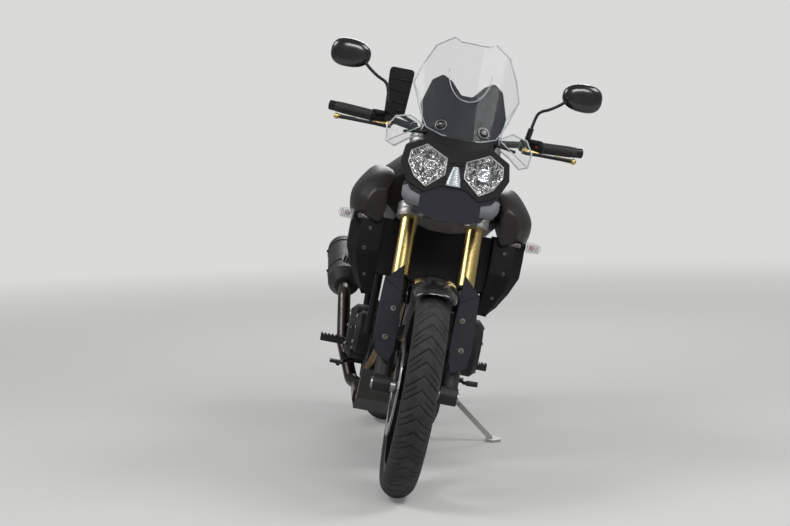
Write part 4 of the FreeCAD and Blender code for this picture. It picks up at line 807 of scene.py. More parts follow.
class MOTORCYCLE_OT_treads(bpy.types.Operator):
    """Tyres with V-shaped grooves, side rings and a bead."""

    bl_idname = "motorcycle.treads"
    bl_label = "Tyre treads"

    def execute(self, context):
        for row in TREADS:
            self.tyre(*row)
        return {"FINISHED"}

    def tyre(self, node, body, hub, radius, width, rise, bead, rim_half, pitches, groove):
        """Crown, flanks and beads swept round the hub in short steps, some of them grooves."""
        wall = bead + 14
        side = radius - rise
        bulge = ((wall + side) / 2 - 3, width / 2 - 2.5)
        crown = arc_through((side, width / 2), (radius, 0), (side, -width / 2), 32)
        flank = arc_through((wall, rim_half), bulge, (side, width / 2), 9)
        left = [(bead, rim_half)] + flank[:-1]
        right = [(reach, -y) for reach, y in reversed(left)]
        profile = left + crown + right
        pitch = 2 * math.pi / pitches
        cut = groove / (radius * pitch)
        long_cut = (0.0, 0.02, cut - 0.02, cut)
        short_cut = (0.52, 0.54, 0.52 + cut * 0.7, 0.54 + cut * 0.7)
        stations = sorted((*long_cut, *short_cut, 0.3, 0.44, 0.68, 0.84))
        rows = []
        for i in range(pitches):
            for share in stations:
                rows.append([self.corner(hub, radius, width, place, i, share, pitch, long_cut, short_cut)
                             for place in profile])
        solid = bmesh.new()
        skin(solid, rows, loop=True)
        piece(node + "_tread", solid, body, "tyre_rubber", (node,))

    def corner(self, hub, radius, width, place, i, share, pitch, long_cut, short_cut):
        """Surface point, sunk where it lies in a groove; the grooves run back from the middle as a V."""
        reach, y = place
        across = abs(y) / (width / 2)
        on_crown = reach > radius - 40 and across < 0.97
        depth = 0.0
        if on_crown and long_cut[1] <= share <= long_cut[2] and across < 0.9:
            depth = 4.5
        own_side = (i % 2 == 0) == (y > 0)
        if on_crown and own_side and short_cut[1] <= share <= short_cut[2] and 0.3 < across < 0.88:
            depth = 4.0
        angle = (i + share) * pitch - 0.85 * min(abs(y), width / 2) / radius
        return hub + round_axle(angle, reach - depth, y)


# Seat nodes with how full of padding they are; lengths in metres
SEATS = (("rider_seat", 0.75), ("pillion_seat", 0.8))
SEAT_CELL = 0.006
SEAT_SWELL = 0.006
FILLING_FRAMES = 20
FILLING_PRESSURE = 4.0


class MOTORCYCLE_OT_seats(bpy.types.Operator):
    """Seats filled out over their foam by cloth pressure, with piped seams."""

    bl_idname = "motorcycle.seats"
    bl_label = "Seats"

    def execute(self, context):
        for node, fill in SEATS:
            obj = self.cushion(context, node)
        return {"FINISHED"}

    def cushion(self, context, node):
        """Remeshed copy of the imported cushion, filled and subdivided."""
        scene = context.scene
        obj = bpy.data.objects.new(node + "_cover", frame["nodes"][node].data.copy())
        scene.collection.objects.link(obj)
        remesh = obj.modifiers.new("even_cells", "REMESH")
        remesh.mode = "VOXEL"
        remesh.voxel_size = SEAT_CELL
        self.apply(context, obj)
        self.fill(context, obj)
        obj.modifiers.new("supple", "SUBSURF").levels = 1
        self.apply(context, obj)
        obj.data.shade_smooth()
        obj.data.materials.clear()
        obj.data.materials.append(finish_of("seat_cover"))
        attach(obj, "chassis")
        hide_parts(node)
        self.piping(node, obj)
        return obj

    def apply(self, context, obj):
        """Replaces the mesh by what its modifiers make of it."""
        evaluated = obj.evaluated_get(context.evaluated_depsgraph_get())
        mesh = bpy.data.meshes.new_from_object(evaluated)
        obj.modifiers.clear()
        obj.data = mesh

    def fill(self, context, obj):
        """Some frames of cloth pressure from inside, each point then held near its start."""
        start = [vertex.co.copy() for vertex in obj.data.vertices]
        cloth = obj.modifiers.new("filling", "CLOTH")
        cloth.settings.use_pressure = True
        cloth.settings.uniform_pressure_force = FILLING_PRESSURE
        cloth.settings.effector_weights.gravity = 0.0
        cloth.point_cache.frame_start = 1
        cloth.point_cache.frame_end = FILLING_FRAMES
        for step in range(1, FILLING_FRAMES + 1):
            context.scene.frame_set(step)
        self.apply(context, obj)
        context.scene.frame_set(1)
        low = min(point.z for point in start)
        high = max(point.z for point in start)
        for vertex, before in zip(obj.data.vertices, start):
            move = vertex.co - before
            room = SEAT_SWELL * min(1.0, max(0.0, (before.z - low) / (high - low) * 1.6 - 0.3))
            vertex.co = before + move.normalized() * min(move.length, room) if move.length else before

    def piping(self, node, obj):
        """Raised seam laid on the cover along each shoulder."""
        tree = surface_of(obj.data)
        lengths = [(INTO_UPRIGHT @ Vector(corner)).x for corner in obj.bound_box]
        back, ahead = min(lengths) + 16, max(lengths) - 16
        solid = bmesh.new()
        for side in (1, -1):
            seam = []
            for i in range(15):
                start = Vector((back + (ahead - back) * i / 14, side * 260, 1010))
                place, normal = tree.ray_cast(start, Vector((0, -side * 0.87, -1)))[:2]
                if place is not None:
                    seam.append(place + normal * 0.4)
            tube(solid, smooth_path(seam, 3), 1.9, 6)
        piece(node + "_piping", solid, "chassis", "seat_cover")


# Left lamp as seen from ahead: (y, z) of its centre, and its outline from there
LAMP_CENTRE = (88, 1003)
LAMP_OUTLINE = [(10, 64), (57, 36), (60, 1), (36, -39), (-5, -65), (-60, -19), (-59, 31)]
LAMP_RINGS = (0.93, 0.8, 0.66, 0.51, 0.37)
LAMP_SETBACKS = (7, 15, 23, 31, 36)
LAMP_FACETS = 32
FACE_X, FACE_Z, FACE_SLOPE = 702, 940, 0.42


def face_x(z):
    """How far forward the sloping face round the lamps is at a height."""
    return FACE_X - FACE_SLOPE * (z - FACE_Z)


def lamp_point(scale, setback, share, side=1):
    """Point on a lamp's scaled outline, at a share of the way round it."""
    place = share * len(LAMP_OUTLINE)
    i = int(place) % len(LAMP_OUTLINE)
    first = Vector(LAMP_OUTLINE[i])
    second = Vector(LAMP_OUTLINE[(i + 1) % len(LAMP_OUTLINE)])
    y, z = first.lerp(second, place - int(place)) * scale
    z += LAMP_CENTRE[1]
    return Vector((face_x(z) - setback, side * (LAMP_CENTRE[0] + y), z))


class MOTORCYCLE_OT_lamps(bpy.types.Operator):
    """Faceted reflectors, projector, light bars and lens rims."""

    bl_idname = "motorcycle.lamps"
    bl_label = "Headlamps"

    def execute(self, context):
        noise.seed_set(7)
        facets, rims, glow, backing, eye = solids(5)
        for side in (1, -1):
            self.reflector(facets, side)
            tube(rims, [lamp_point(0.965, 0.2, k / 56, side) for k in range(56)], 1.7, 8, loop=True)
        piece("lamp_facets", facets, "chassis", "lamp_reflector", smooth=False)
        piece("lamp_rims", rims, "chassis", "disc_steel")
        for side in (1, -1):
            for drop, reach in ((12, 44), (-10, 34)):
                z = LAMP_CENTRE[1] + drop
                start = Vector((face_x(z) - 14, side * (LAMP_CENTRE[0] - reach), z))
                tube(glow, [start, start + Vector((0, side * reach * 1.7, 6))], 2.2, 6)
        for z in range(960, 1011, 5):
            half = 21 - (z - 960) * 0.27
            tube(glow, [(face_x(z) - 0.5, y, z) for y in (-half, half)], 1.7, 6)
        piece("lamp_guides", glow, "chassis", "mirror_glass")
        corners = [(-22, 955), (-19, 975), (-8, 1013), (8, 1013), (19, 975), (22, 955)]
        plate(backing, [(face_x(z) + 0.6, y, z) for y, z in corners], (-3, 0, 0))
        piece("lamp_backing", backing, "chassis", "clear_edge", smooth=False)
        profile = [(-8, 22), (2, 22), (4, 19), (2, 16.5), (1, 14), (4, 10), (6, 5), (6.5, 1)]
        lathe(eye, lamp_point(0, 20, 0), Vector((1, 0, FACE_SLOPE)), profile, 28)
        piece("lamp_projector", eye, "chassis", "mirror_glass")
        return {"FINISHED"}

    def reflector(self, solid, side):
        """Rings of small triangles with uneven depth, so that each one catches its own light."""
        count = LAMP_FACETS
        rows = []
        for scale, setback in zip(LAMP_RINGS, LAMP_SETBACKS):
            row = []
            for k in range(count):
                point = lamp_point(scale, setback, (k + 0.5 * (len(rows) % 2)) / count, side)
                point += noise.random_unit_vector() * (4.4 if rows else 0.6)
                row.append(solid.verts.new(point))
            rows.append(row)
        middle = solid.verts.new(lamp_point(0, 40, 0, side))
        for k in range(count):
            ahead = (k + 1) % count
            for outer, inner in zip(rows, rows[1:]):
                solid.faces.new((outer[k], outer[ahead], inner[k]))
                solid.faces.new((inner[k], outer[ahead], inner[ahead]))
            solid.faces.new((rows[-1][k], rows[-1][ahead], middle))


# Screen as part of a leaning cylinder, and lines on it as (y, z) seen from ahead
SCREEN_FOOT = Vector((645, 0, 1080))
SCREEN_UP = Vector((-190, 0, 320)).normalized()
SCREEN_OUT = Vector((320, 0, 190)).normalized()
SCREEN_BEND = 230
SCREEN_EDGE = [(44, 1394), (66, 1405), (118, 1370), (150, 1304),
               (169, 1243), (138, 1162), (111, 1115), (62, 1100)]
SCREEN_ARCH = [(68, 1304), (61, 1266), (46, 1238), (24, 1219)]
SCREEN_FLANGE = [(166, 1240), (132, 1178), (122, 1112)]


def on_screen(y, z, proud=0.0):
    """Point on the outside of the screen seen at (y, z) from ahead."""
    reach = math.sqrt(SCREEN_BEND ** 2 - y ** 2)
    out = SCREEN_OUT * (reach - SCREEN_BEND + proud * reach / SCREEN_BEND)
    along = (z - SCREEN_FOOT.z - out.z) / SCREEN_UP.z
    return SCREEN_FOOT + out + SCREEN_UP * along + Vector((0, y * (1 + proud / SCREEN_BEND), 0))


class MOTORCYCLE_OT_screen(bpy.types.Operator):
    """Screen knobs with their rings, the screen's edge and the lines moulded on it."""

    bl_idname = "motorcycle.screen"
    bl_label = "Screen"

    def execute(self, context):
        knobs, rings, lines = solids(3)
        profile = [(-24, 6), (0.4, 6), (0.4, 13), (6, 13), (8, 11), (8.6, 6), (7, 4)]
        for side in (1, -1):
            place = on_screen(side * 67, 1129)
            centre = SCREEN_FOOT - SCREEN_OUT * SCREEN_BEND + SCREEN_UP * (place - SCREEN_FOOT).dot(SCREEN_UP)
            way = (place - centre).normalized()
            lathe(knobs, place, way, profile, 24)
            tube(rings, ring(place + way * 1.5, way, 17, 28), 1.3, 6, loop=True)
            lathe(rings, place + way * 7, way, [(-1, 4), (1.4, 4), (2.2, 2.5)], 16)
            tube(lines, [on_screen(side * y, z, 0.5) for y, z in SCREEN_FLANGE], 1.2, 6)
        piece("screen_knobs", knobs, "chassis", "gloss_black")
        piece("screen_knob_rings", rings, "chassis", "bolt_steel")
        path = SCREEN_ARCH + [(0, 1214)] + [(-y, z) for y, z in reversed(SCREEN_ARCH)]
        tube(lines, smooth_path([on_screen(y, z, 0.5) for y, z in path], 4), 1.5, 6)
        edge = SCREEN_EDGE + [(-y, z) for y, z in reversed(SCREEN_EDGE)]
        tube(lines, [on_screen(y, z, -2) for y, z in edge], 1.8, 6, loop=True)
        piece("screen_lines", lines, "chassis", "clear_edge")
        return {"FINISHED"}


# Rib as (height, radius) pairs; boxes as place along the grip, offset and half size
GRIP_RIB = [(0, 16.6), (0.8, 18), (2.8, 18), (3.6, 16.6)]
SWITCH_BOXES = ((-20, (12, 0, 14), (14, 15, 9)), (-52, (10, 0, -6), (11, 10, 12)))
# Case ridges as height, right end, left end and radius; screws as (y, z)
NAVIGATOR_RIDGES = ((1243, -239, -169, 2.5), (1206, -237, -171, 1.6), (1170, -235, -173, 2.5))
NAVIGATOR_SCREWS = ((-235, 1266), (-172, 1266), (-230, 1146))


class MOTORCYCLE_OT_cockpit(bpy.types.Operator):
    """Grip ribs, lever ends, switches, and the navigation case's ridges, knob and screws."""

    bl_idname = "motorcycle.cockpit"
    bl_label = "Cockpit"

    def execute(self, context):
        self.grips()
        self.levers()
        self.switches()
        self.navigator()
        return {"FINISHED"}

    def grips(self):
        """Ribs round the rubber and a bar-end weight."""
        ribs, weights = solids(2)
        for side in (1, -1):
            root, way = on_side(GRIP_ROOT, side), on_side(GRIP_WAY, side)
            lathe(ribs, root + way * 1.5, way, [(0, 17), (0, 21.5), (4, 21.5), (6, 17)], 28)
            for reach in range(12, 109, 6):
                lathe(ribs, root + way * reach, way, GRIP_RIB, 28)
            lathe(weights, root + way * 119, way, [(0, 14), (0.4, 15.5), (1.6, 15.5), (2.2, 12)], 28)
        piece("grip_ribs", ribs, "steering", "grip_rubber")
        piece("bar_ends", weights, "steering", "bar_black")

    def levers(self):
        """Gold pivots and ball ends."""
        gold = bmesh.new()
        for side in (1, -1):
            root, tip = on_side(LEVER_ROOT, side), on_side(LEVER_TIP, side)
            lathe(gold, root + Vector((0, 0, -9)), Z, [(0, 8), (1, 9.5), (17, 9.5), (18, 8)], 20)
            lathe(gold, root + Vector((0, 0, 9)), Z, [(0, 5), (3, 5), (3.6, 3)], 6)
            bmesh.ops.create_icosphere(gold, subdivisions=3, radius=9.6, matrix=Matrix.Translation(tip))
            inward = (root - tip).normalized()
            arm = [root - inward * reach for reach in (-6, 12, 30, 46, 56)]
            tube(gold, arm, [9.5, 9.5, 8, 6.5, 5], 12)
            lathe(gold, tip + inward * 6, inward, [(0, 7.6), (22, 6.6), (60, 6.4), (62, 5.6)], 16)
        piece("lever_ends", gold, "steering", "gold_anodised")

    def switches(self):
        """Rocker switches on each housing and a red stop switch."""
        black, red = solids(2)
        for side in (1, -1):
            root, way = on_side(GRIP_ROOT, side), on_side(GRIP_WAY, side)
            for along, tilt in ((-30, 35), (-20, 5), (-10, -25)):
                out = Vector((-math.cos(math.radians(tilt)), 0, math.sin(math.radians(tilt))))
                base = root + way * along + out * 21.5
                lathe(black, base, out, [(-2, 5.5), (1.5, 5.5), (2.5, 4.5)], 12)
            for along in (-33, -6):
                lathe(black, root + way * along, way, [(0, 22.3), (0, 23), (2, 23), (2, 22.3)], 32)
            for along, offset, half in SWITCH_BOXES:
                centre = root + way * along + Vector(offset)
                block(black, centre - Vector(half), centre + Vector(half))
        out = Vector((0.97, 0, 0.24))
        lathe(red, GRIP_ROOT - GRIP_WAY * 14 + out * 21, out, [(-1, 6), (2.5, 6), (3.5, 4.6)], 18)
        piece("switches", black, "steering", "black_plastic")
        piece("stop_switch", red, "steering", "orange_plastic")

    def navigator(self):
        """Ridges across the case's back, a round knob and the corner screws."""
        case = surface_of(frame["nodes"]["navigator_case"].data)
        ridges = bmesh.new()
        for z, right, left, proud in NAVIGATOR_RIDGES:
            ends = [seat_on(case, (600, y, z), -X)[0] for y in (right, left)]
            tube(ridges, [point + X * 0.2 for point in ends], proud, 6)
        seat, normal = seat_on(case, (600, -194, 1142), -X)
        lathe(ridges, seat, normal, [(-2, 11), (5, 11), (7, 9), (7, 5), (4.5, 4)], 24)
        for y, z in NAVIGATOR_SCREWS:
            seat, normal = seat_on(case, (600, y, z), -X)
            bolt(ridges, seat, normal, 3.5, 2.5)
        piece("navigator_ridges", ridges, "steering", "bar_black")


FORK_COLLARS = (
    # place up the leg, (height, radius) pairs, corners in a round
    (TUBE_LOW - 3, [(0, 27.5), (1, 29.5), (9, 29.5), (12, 27.6)], 36),
    (TUBE_HIGH - 2, [(0, 24), (5, 24), (6, 22), (6, 12), (3, 11)], 30),
)


class MOTORCYCLE_OT_fork(bpy.types.Operator):
    """Yoke ribs and pinch bolts, guard bolts, seal collars, axle nuts and caliper caps."""

    bl_idname = "motorcycle.fork"
    bl_label = "Fork"

    def execute(self, context):
        silver, bolts, collars, studs, caps = solids(5)
        for side in (1, -1):
            out = Y * side
            for base, wall in ((YOKE_LOW, YOKE_LOW_WALL), (YOKE_HIGH, YOKE_HIGH_WALL)):
                self.yoke(silver, bolts, side, base, wall)
            for up, profile, count in FORK_COLLARS:
                lathe(collars, on_leg(0, side * LEG_HALF, up), LEG_UP, profile, count)
            for across, up in ((107, 233), (117, 139)):
                place = on_leg(GUARD_FORWARD, side * across, up)
                lathe(studs, place - LEG_FORWARD * 1.5, LEG_FORWARD, [(0, 9), (2.2, 9), (2.6, 7.5)], 20)
                bolt(studs, place + LEG_FORWARD * 0.8, LEG_FORWARD, 5.2, 4)
            lathe(bolts, FRONT_AXLE + out * 134, out, [(-6, 15), (0, 15), (1.2, 13.5)], 6)
            for x, z in ((646, 436), (682, 404)):
                lathe(caps, (x, side * 100, z), out, [(0, 14), (8, 14), (10, 12), (10, 8), (8, 6.5)], 24)
        piece("yoke_ribs", silver, "steering", "cast_silver")
        piece("fork_collars", collars, "steering", "black_plastic")
        piece("guard_studs", studs, "steering", "chain_steel")
        piece("fork_bolts", bolts, "steering", "bolt_steel")
        piece("caliper_caps", caps, "steering", "gold_anodised")
        return {"FINISHED"}

    def yoke(self, silver, bolts, side, base, wall):
        """Ribs round one clamp of a yoke, and two pinch bolts in their bosses."""
        low, high = CLAMP_RADIUS - 0.5, CLAMP_RADIUS + 1.6
        for share in (0.12, 0.5, 0.88):
            centre = on_leg(0, side * LEG_HALF, base + wall * share - 2)
            lathe(silver, centre, LEG_UP, [(0, low), (0.6, high), (3.4, high), (4, low)], 40)
        for share in (0.28, 0.72):
            place = on_leg(26, side * (LEG_HALF - 31), base + wall * share)
            lathe(silver, place - Y * side * 2, Y * side, [(-6, 8), (7, 8), (9, 6.5)], 20)
            bolt(bolts, place - Y * side * 8, Y * -side, 5.5, 5)


def chain_pins():
    """Every pin's place on the chain's pitch line."""
    small, large = (PITCH / (2 * math.sin(math.pi / teeth)) for teeth in (FRONT_TEETH, REAR_TEETH))
    span = FRONT_SPROCKET - REAR_SPROCKET
    tilt = math.atan2(span.z, span.x)
    turn = math.acos((large - small) / span.length)
    run = math.sqrt(span.length ** 2 - (large - small) ** 2)
    front_arc = small * 2 * turn
    total = 2 * run + front_arc + large * (2 * math.pi - 2 * turn)
    count = round(total / PITCH)
    for i in range(count):
        gone = total * i / count
        angle, centre, radius, ahead = tilt + turn, REAR_SPROCKET, large, gone
        if gone >= run:
            angle, centre, radius, ahead = tilt + turn - (gone - run) / small, FRONT_SPROCKET, small, 0
        if gone >= run + front_arc:
            angle, ahead = tilt - turn, gone - run - front_arc
        if gone >= 2 * run + front_arc:
            angle = tilt - turn - (gone - 2 * run - front_arc) / large
            centre, radius, ahead = REAR_SPROCKET, large, 0
        out = round_axle(angle)
        yield centre + out * radius + Vector((out.z, 0, -out.x)) * ahead


ENGINE_RIBS = (
    # rear end, front end, sideways, height, radius
    (47.6, 244.4, 118.5, 532, 2.6),
    (53.0, 248.0, 118.5, 550, 2.6),
    (58.4, 251.6, 118.5, 568, 2.6),
    (63.8, 255.2, 118.5, 586, 2.6),
    (66, 261, 122.3, 614, 2.2),
    (84, 268, 122.3, 662, 3.4),
    (-86, 200, 135.3, 462, 3.0),
)


class MOTORCYCLE_OT_engine(bpy.types.Operator):
    """Ribs, seams and bolts on the engine, straps on the silencer and the ring of the tank cap."""

    bl_idname = "motorcycle.engine"
    bl_label = "Engine and silencer details"

    def execute(self, context):
        ribs, bolts, straps, cap = solids(4)
        for side in (1, -1):
            for rear, front, y, z, radius in ENGINE_RIBS:
                tube(ribs, [(x, side * y, z) for x in (rear, front)], radius, 8)
            for x in (104, 142, 180, 218):
                bolt(bolts, (x, side * 112, 696), Y * side, 5.5, 5)
            for x in (-70, -10, 60, 130, 190):
                bolt(bolts, (x, side * 135, 474), Y * side, 4.5, 4)
        for x in (-148, -128, -108):
            tube(ribs, [(x, 81.4, 270), (x + 10, 81.4, 430)], 3.0, 8)
        piece("engine_ribs", ribs, "chassis", "engine_black")
        piece("engine_bolts", bolts, "chassis", "bolt_steel")
        way = SILENCER_WAY.normalized()
        for reach in (118, 330):
            place = SILENCER_START + way * reach
            lathe(straps, place, way, [(0, 58.2), (0, 60), (14, 60), (14, 58.2)], 48)
            bolt(straps, place + way * 7 - Y * 59, -Y, 5, 5)
        piece("silencer_straps", straps, "chassis", "bar_black")
        up = Vector((0.05, 0, 1)).normalized()
        lid = Vector((150, 0, 1012)) + up * 20
        tube(cap, ring(lid, up, 35, 48), 2.4, 8, loop=True)
        for place in ring(lid, up, 28, 6):
            bolt(cap, place, up, 3.4, 2.2)
        lathe(cap, lid + Vector((8, 0, 0)), up, [(-1, 9), (1.6, 9), (2.2, 8), (2.2, 3)], 24)
        piece("tank_cap_ring", cap, "chassis", "chain_steel")
        return {"FINISHED"}


SHOCK_PROFILES = (
    # (height, radius) pairs up from the lower eye, corners in a round
    ([(6, 12), (30, 12), (30, 31), (37, 33), (41, 33), (41, 20), (60, 20)], 28),
    ([(58, 8), (150, 8)], 16),
    ([(120, 21), (196, 21)], 24),
    ([(189, 33), (193, 33), (197, 30), (204, 30), (206, 22), (238, 22), (242, 14)], 28),
)


class MOTORCYCLE_OT_drive(bpy.types.Operator):
    """Chain pin heads, sprocket nuts, the shock and the side stand's spring."""

    bl_idname = "motorcycle.drive"
    bl_label = "Drive"

    def execute(self, context):
        heads, nuts = solids(2)
        for pin in chain_pins():
            for side in (1, -1):
                lathe(heads, pin + Y * side * CHAIN_HALF, Y * side, [(-0.6, 2.9), (0.7, 2.9), (1.1, 2.1)], 10)
        piece("chain_pins", heads, "chassis", "bolt_steel")
        for k in range(5):
            place = REAR_SPROCKET + round_axle(2 * math.pi * k / 5) * 50
            lathe(nuts, place + Y * 3.4, Y, [(-1, 8), (0.4, 8), (0.4, 6.5), (4.6, 6.5), (5.4, 5.4)], 6)
        piece("sprocket_nuts", nuts, "rear_wheel", "bolt_steel")
        self.shock()
        self.stand_spring()
        return {"FINISHED"}

    def shock(self):
        """Damper with eyes and collars, and the spring as one swept coil."""
        top, low = SHOCK_TOP, SHOCK_LOW
        way = (top - low).normalized()
        body, spring = solids(2)
        for profile, count in SHOCK_PROFILES:
            lathe(body, low, way, profile, count)
        lathe(body, top - Y * 30, Y, [(0, 15), (1, 16), (59, 16), (60, 15)], 24)
        lathe(body, low - Y * 20, Y, [(0, 13), (1, 14), (39, 14), (40, 13)], 24)
        lathe(body, top - way * 20, way, [(-8, 14), (20, 12)], 20)
        piece("shock_damper", body, "chassis", "bar_black", ("rear_shock",))
        tube(spring, coil(low, way, 46, 138, 28, 7, 20), 4.8, 10)
        piece("shock_spring", spring, "chassis", "bar_black")

    def stand_spring(self):
        """Close-wound return spring beside the stand's leg."""
        way = (STAND_FOOT - STAND_PIVOT).normalized()
        across = way.cross(-X).normalized().cross(way)
        start = STAND_PIVOT + way * 22 - across * 20
        turns = coil(start, way, 12, 70, 5, 22, 10)
        spring = bmesh.new()
        tube(spring, [start + across * 10, start + way * 6] + turns, 1.5, 6)
        piece("stand_spring", spring, "side_stand", "bolt_steel")


# Left guard in fork-leg coordinates: (out, up), and (out, up, forward) where it folds back
GUARD_WALL = 5
GUARD_LOW = [(148, 322), (150, 145), (141, 88), (97, 60), (84, 100), (82, 180), (88, 285)]
GUARD_TOP = [(88, 285, 44), (148, 322, 44), (94, 382, 38)]


def drilled_ring(solid, hub, low, high, inner, outer):
    """Brake rotor between two planes: two staggered rings of drilled cells and a scalloped rim."""
    sectors, hole, scallops, scallop_depth = 36, 3.1, 12, 1.6
    step = 2 * math.pi / sectors
    middle = (inner + outer) / 2

    def place(radius, angle, y):
        if radius > outer - 0.01:
            radius -= scallop_depth * (1 - math.cos(scallops * angle))
        return solid.verts.new(hub + round_axle(angle, radius, y))

    for first, last, turn in ((inner, middle, 0.0), (middle, outer, 0.5)):
        centre = (first + last) / 2
        edge = [(first, 0), (first, 0.5), (first, 1), (centre, 1),
                (last, 1), (last, 0.5), (last, 0), (centre, 0)]
        for k in range(sectors):
            start = (k + turn) * step
            walls = []
            for y in (low, high):
                rim = [place(radius, start + share * step, y) for radius, share in edge]
                drilled = []
                for radius, share in edge:
                    across = (share - 0.5) * step * centre
                    scale = hole / math.hypot(across, radius - centre)
                    angle = start + step / 2 + across * scale / centre
                    drilled.append(place(centre + (radius - centre) * scale, angle, y))
                walls.append((rim, drilled))
            for i in range(8):
                ahead = (i + 1) % 8
                for rim, drilled in walls:
                    solid.faces.new((rim[i], rim[ahead], drilled[ahead], drilled[i]))
                (low_rim, low_hole), (high_rim, high_hole) = walls
                solid.faces.new((low_hole[i], low_hole[ahead], high_hole[ahead], high_hole[i]))
                if i in ((0, 1) if first == inner else (4, 5)):
                    solid.faces.new((low_rim[i], low_rim[ahead], high_rim[ahead], high_rim[i]))
    bmesh.ops.remove_doubles(solid, verts=solid.verts, dist=0.02)
    bmesh.ops.recalc_face_normals(solid, faces=solid.faces)


DISCS = (
    # wheel, rotor, replaced node, finish, hub, planes, inner and outer radius, pairs of arms
    ("front", "front_rotors", "front_discs", "disc_steel", FRONT_AXLE, (56, -61), 116, 153.5, 6),
    ("rear", "rear_rotor", "rear_disc", "rear_disc_steel", REAR_AXLE, (-81,), 92, 126.5, 5),
)


class MOTORCYCLE_OT_discs(bpy.types.Operator):
    """Drilled, scalloped brake rotors on arms with floating buttons."""

    bl_idname = "motorcycle.discs"
    bl_label = "Brake discs"

    def execute(self, context):
        for wheel, name, node, slot, hub, planes, inner, outer, pairs in DISCS:
            rotor, arms, buttons = solids(3)
            for low in planes:
                self.disc(rotor, arms, buttons, hub, low, inner, outer, pairs)
            body = wheel + "_wheel"
            piece(name, rotor, body, slot, (node,), smooth=False)
            piece(wheel + "_disc_arms", arms, body, "bar_black", smooth=False)
            piece(wheel + "_disc_buttons", buttons, body, "bolt_steel")
        return {"FINISHED"}

    def disc(self, rotor, arms, buttons, hub, low, inner, outer, pairs):
        """One rotor with its inner ring, arms and buttons."""
        drilled_ring(rotor, hub, low, low + 5, inner, outer)
        ring_corners = ((26, low + 0.5), (52, low + 0.5), (52, low + 4.5), (26, low + 4.5))
        rows = []
        for k in range(60):
            way = round_axle(2 * math.pi * k / 60)
            rows.append([hub + way * radius + Y * y for radius, y in ring_corners])
        skin(arms, rows, loop=True)
        reach = inner + 5
        half = [(48, 0.17), (inner - 14, 0.07), (reach, 0.06)]
        arm = half + [(radius, -spread) for radius, spread in reversed(half)]
        for k in range(pairs * 2):
            angle = math.pi * k / pairs + 0.2
            outline = [hub + round_axle(angle + spread, radius, low + 0.7) for radius, spread in arm]
            plate(arms, outline, Y * 3.6)
            seat = hub + round_axle(angle, reach, low - 0.8)
            lathe(buttons, seat, Y, [(0, 5.6), (0.6, 6.4), (6, 6.4), (6.6, 5.6)], 20)


class MOTORCYCLE_OT_guards(bpy.types.Operator):
    """Creased fork guards with side wings, and the glossy front mudguard."""

    bl_idname = "motorcycle.guards"
    bl_label = "Guards"

    def execute(self, context):
        shields = bmesh.new()
        for side in (1, -1):
            push = LEG_FORWARD * -GUARD_WALL
            plate(shields, [on_leg(GUARD_FORWARD, side * out, up) for out, up in GUARD_LOW], push)
            plate(shields, [on_leg(forward, side * out, up) for out, up, forward in GUARD_TOP], push)
            wing = [(-22, 110), (-22, 268), (40, 312), (40, 132)]
            plate(shields, [on_leg(forward, side * 149, up) for forward, up in wing], Y * side * -4)
            for up in (139, 233):
                lathe(shields, on_leg(20, side * 103, up), LEG_FORWARD, [(0, 9), (20, 9)], 16)
        soften(shields, 1.4)
        piece("guard_shields", shields, "steering", "blue_black_plastic", ("fork_guards",), smooth=False)
        self.mudguard()
        return {"FINISHED"}

    def mudguard(self):
        """Crowned shell with turned-down edges and a rounded beak, and a stay to each leg."""
        shell = bmesh.new()
        rows = []
        for i in range(45):
            angle = math.radians(62 + 90 * i / 44)
            spread = min(1.0, 0.86 + 0.14 * math.sqrt(min(1.0, i / 5)))
            outer, inner = [], []
            for k in range(25):
                y = -MUDGUARD_HALF + 2 * MUDGUARD_HALF * k / 24
                reach = MUDGUARD_RADIUS - 30 * abs(y / MUDGUARD_HALF) ** 3 * spread
                outer.append(FRONT_AXLE + round_axle(angle, reach, y * spread))
                inner.append(FRONT_AXLE + round_axle(angle, reach - 4, y * spread * 0.94))
            rows.append(outer + inner[::-1])
        skin(shell, rows)
        for side in (1, -1):
            stay = ((-9, 270), (9, 270), (9, 336), (-9, 336))
            plate(shell, [on_leg(forward, side * 60, up) for forward, up in stay], Y * side * 21)
        piece("mudguard_shell", shell, "steering", "gloss_black", ("front_mudguard",))


# Mirror sections as (forward, share of the full outline), and the left stalk's route
MIRROR_SECTIONS = [(16, 0.3), (15.4, 0.5), (13.4, 0.7), (9.5, 0.86), (4, 0.96), (-2, 1.0), (-9, 1.0),
                   (-14, 0.98), (-16, 0.955), (-16, 0.93), (-14, 0.92)]
MIRROR_ROUTE = [(375, 224, 1128), (366, 230, 1160), (352, 240, 1206), (346, 252, 1226), (342, 280, 1240),
                (338, 312, 1262), (334, 334, 1284)]
SLEEVE_RIB = [(0, 7), (0.6, 9.4), (3.2, 9.4), (3.8, 7)]
MIRROR_REACH = 64
MIRROR_RISE = 45


def mirror_edge(scale, x, side):
    """Rounded outline of a mirror, blunter on its outer end."""
    count = 44
    points = []
    for k in range(count):
        angle = 2 * math.pi * k / count
        across, up = math.cos(angle), math.sin(angle)
        y = math.copysign(abs(across) ** 0.82, across) * MIRROR_REACH + 2
        z = math.copysign(abs(up) ** 0.82, up) * MIRROR_RISE * (1 + 0.1 * across)
        points.append(Vector((MIRROR.x + x, side * (MIRROR.y + y * scale), MIRROR.z - 9 + z * scale)))
    return points


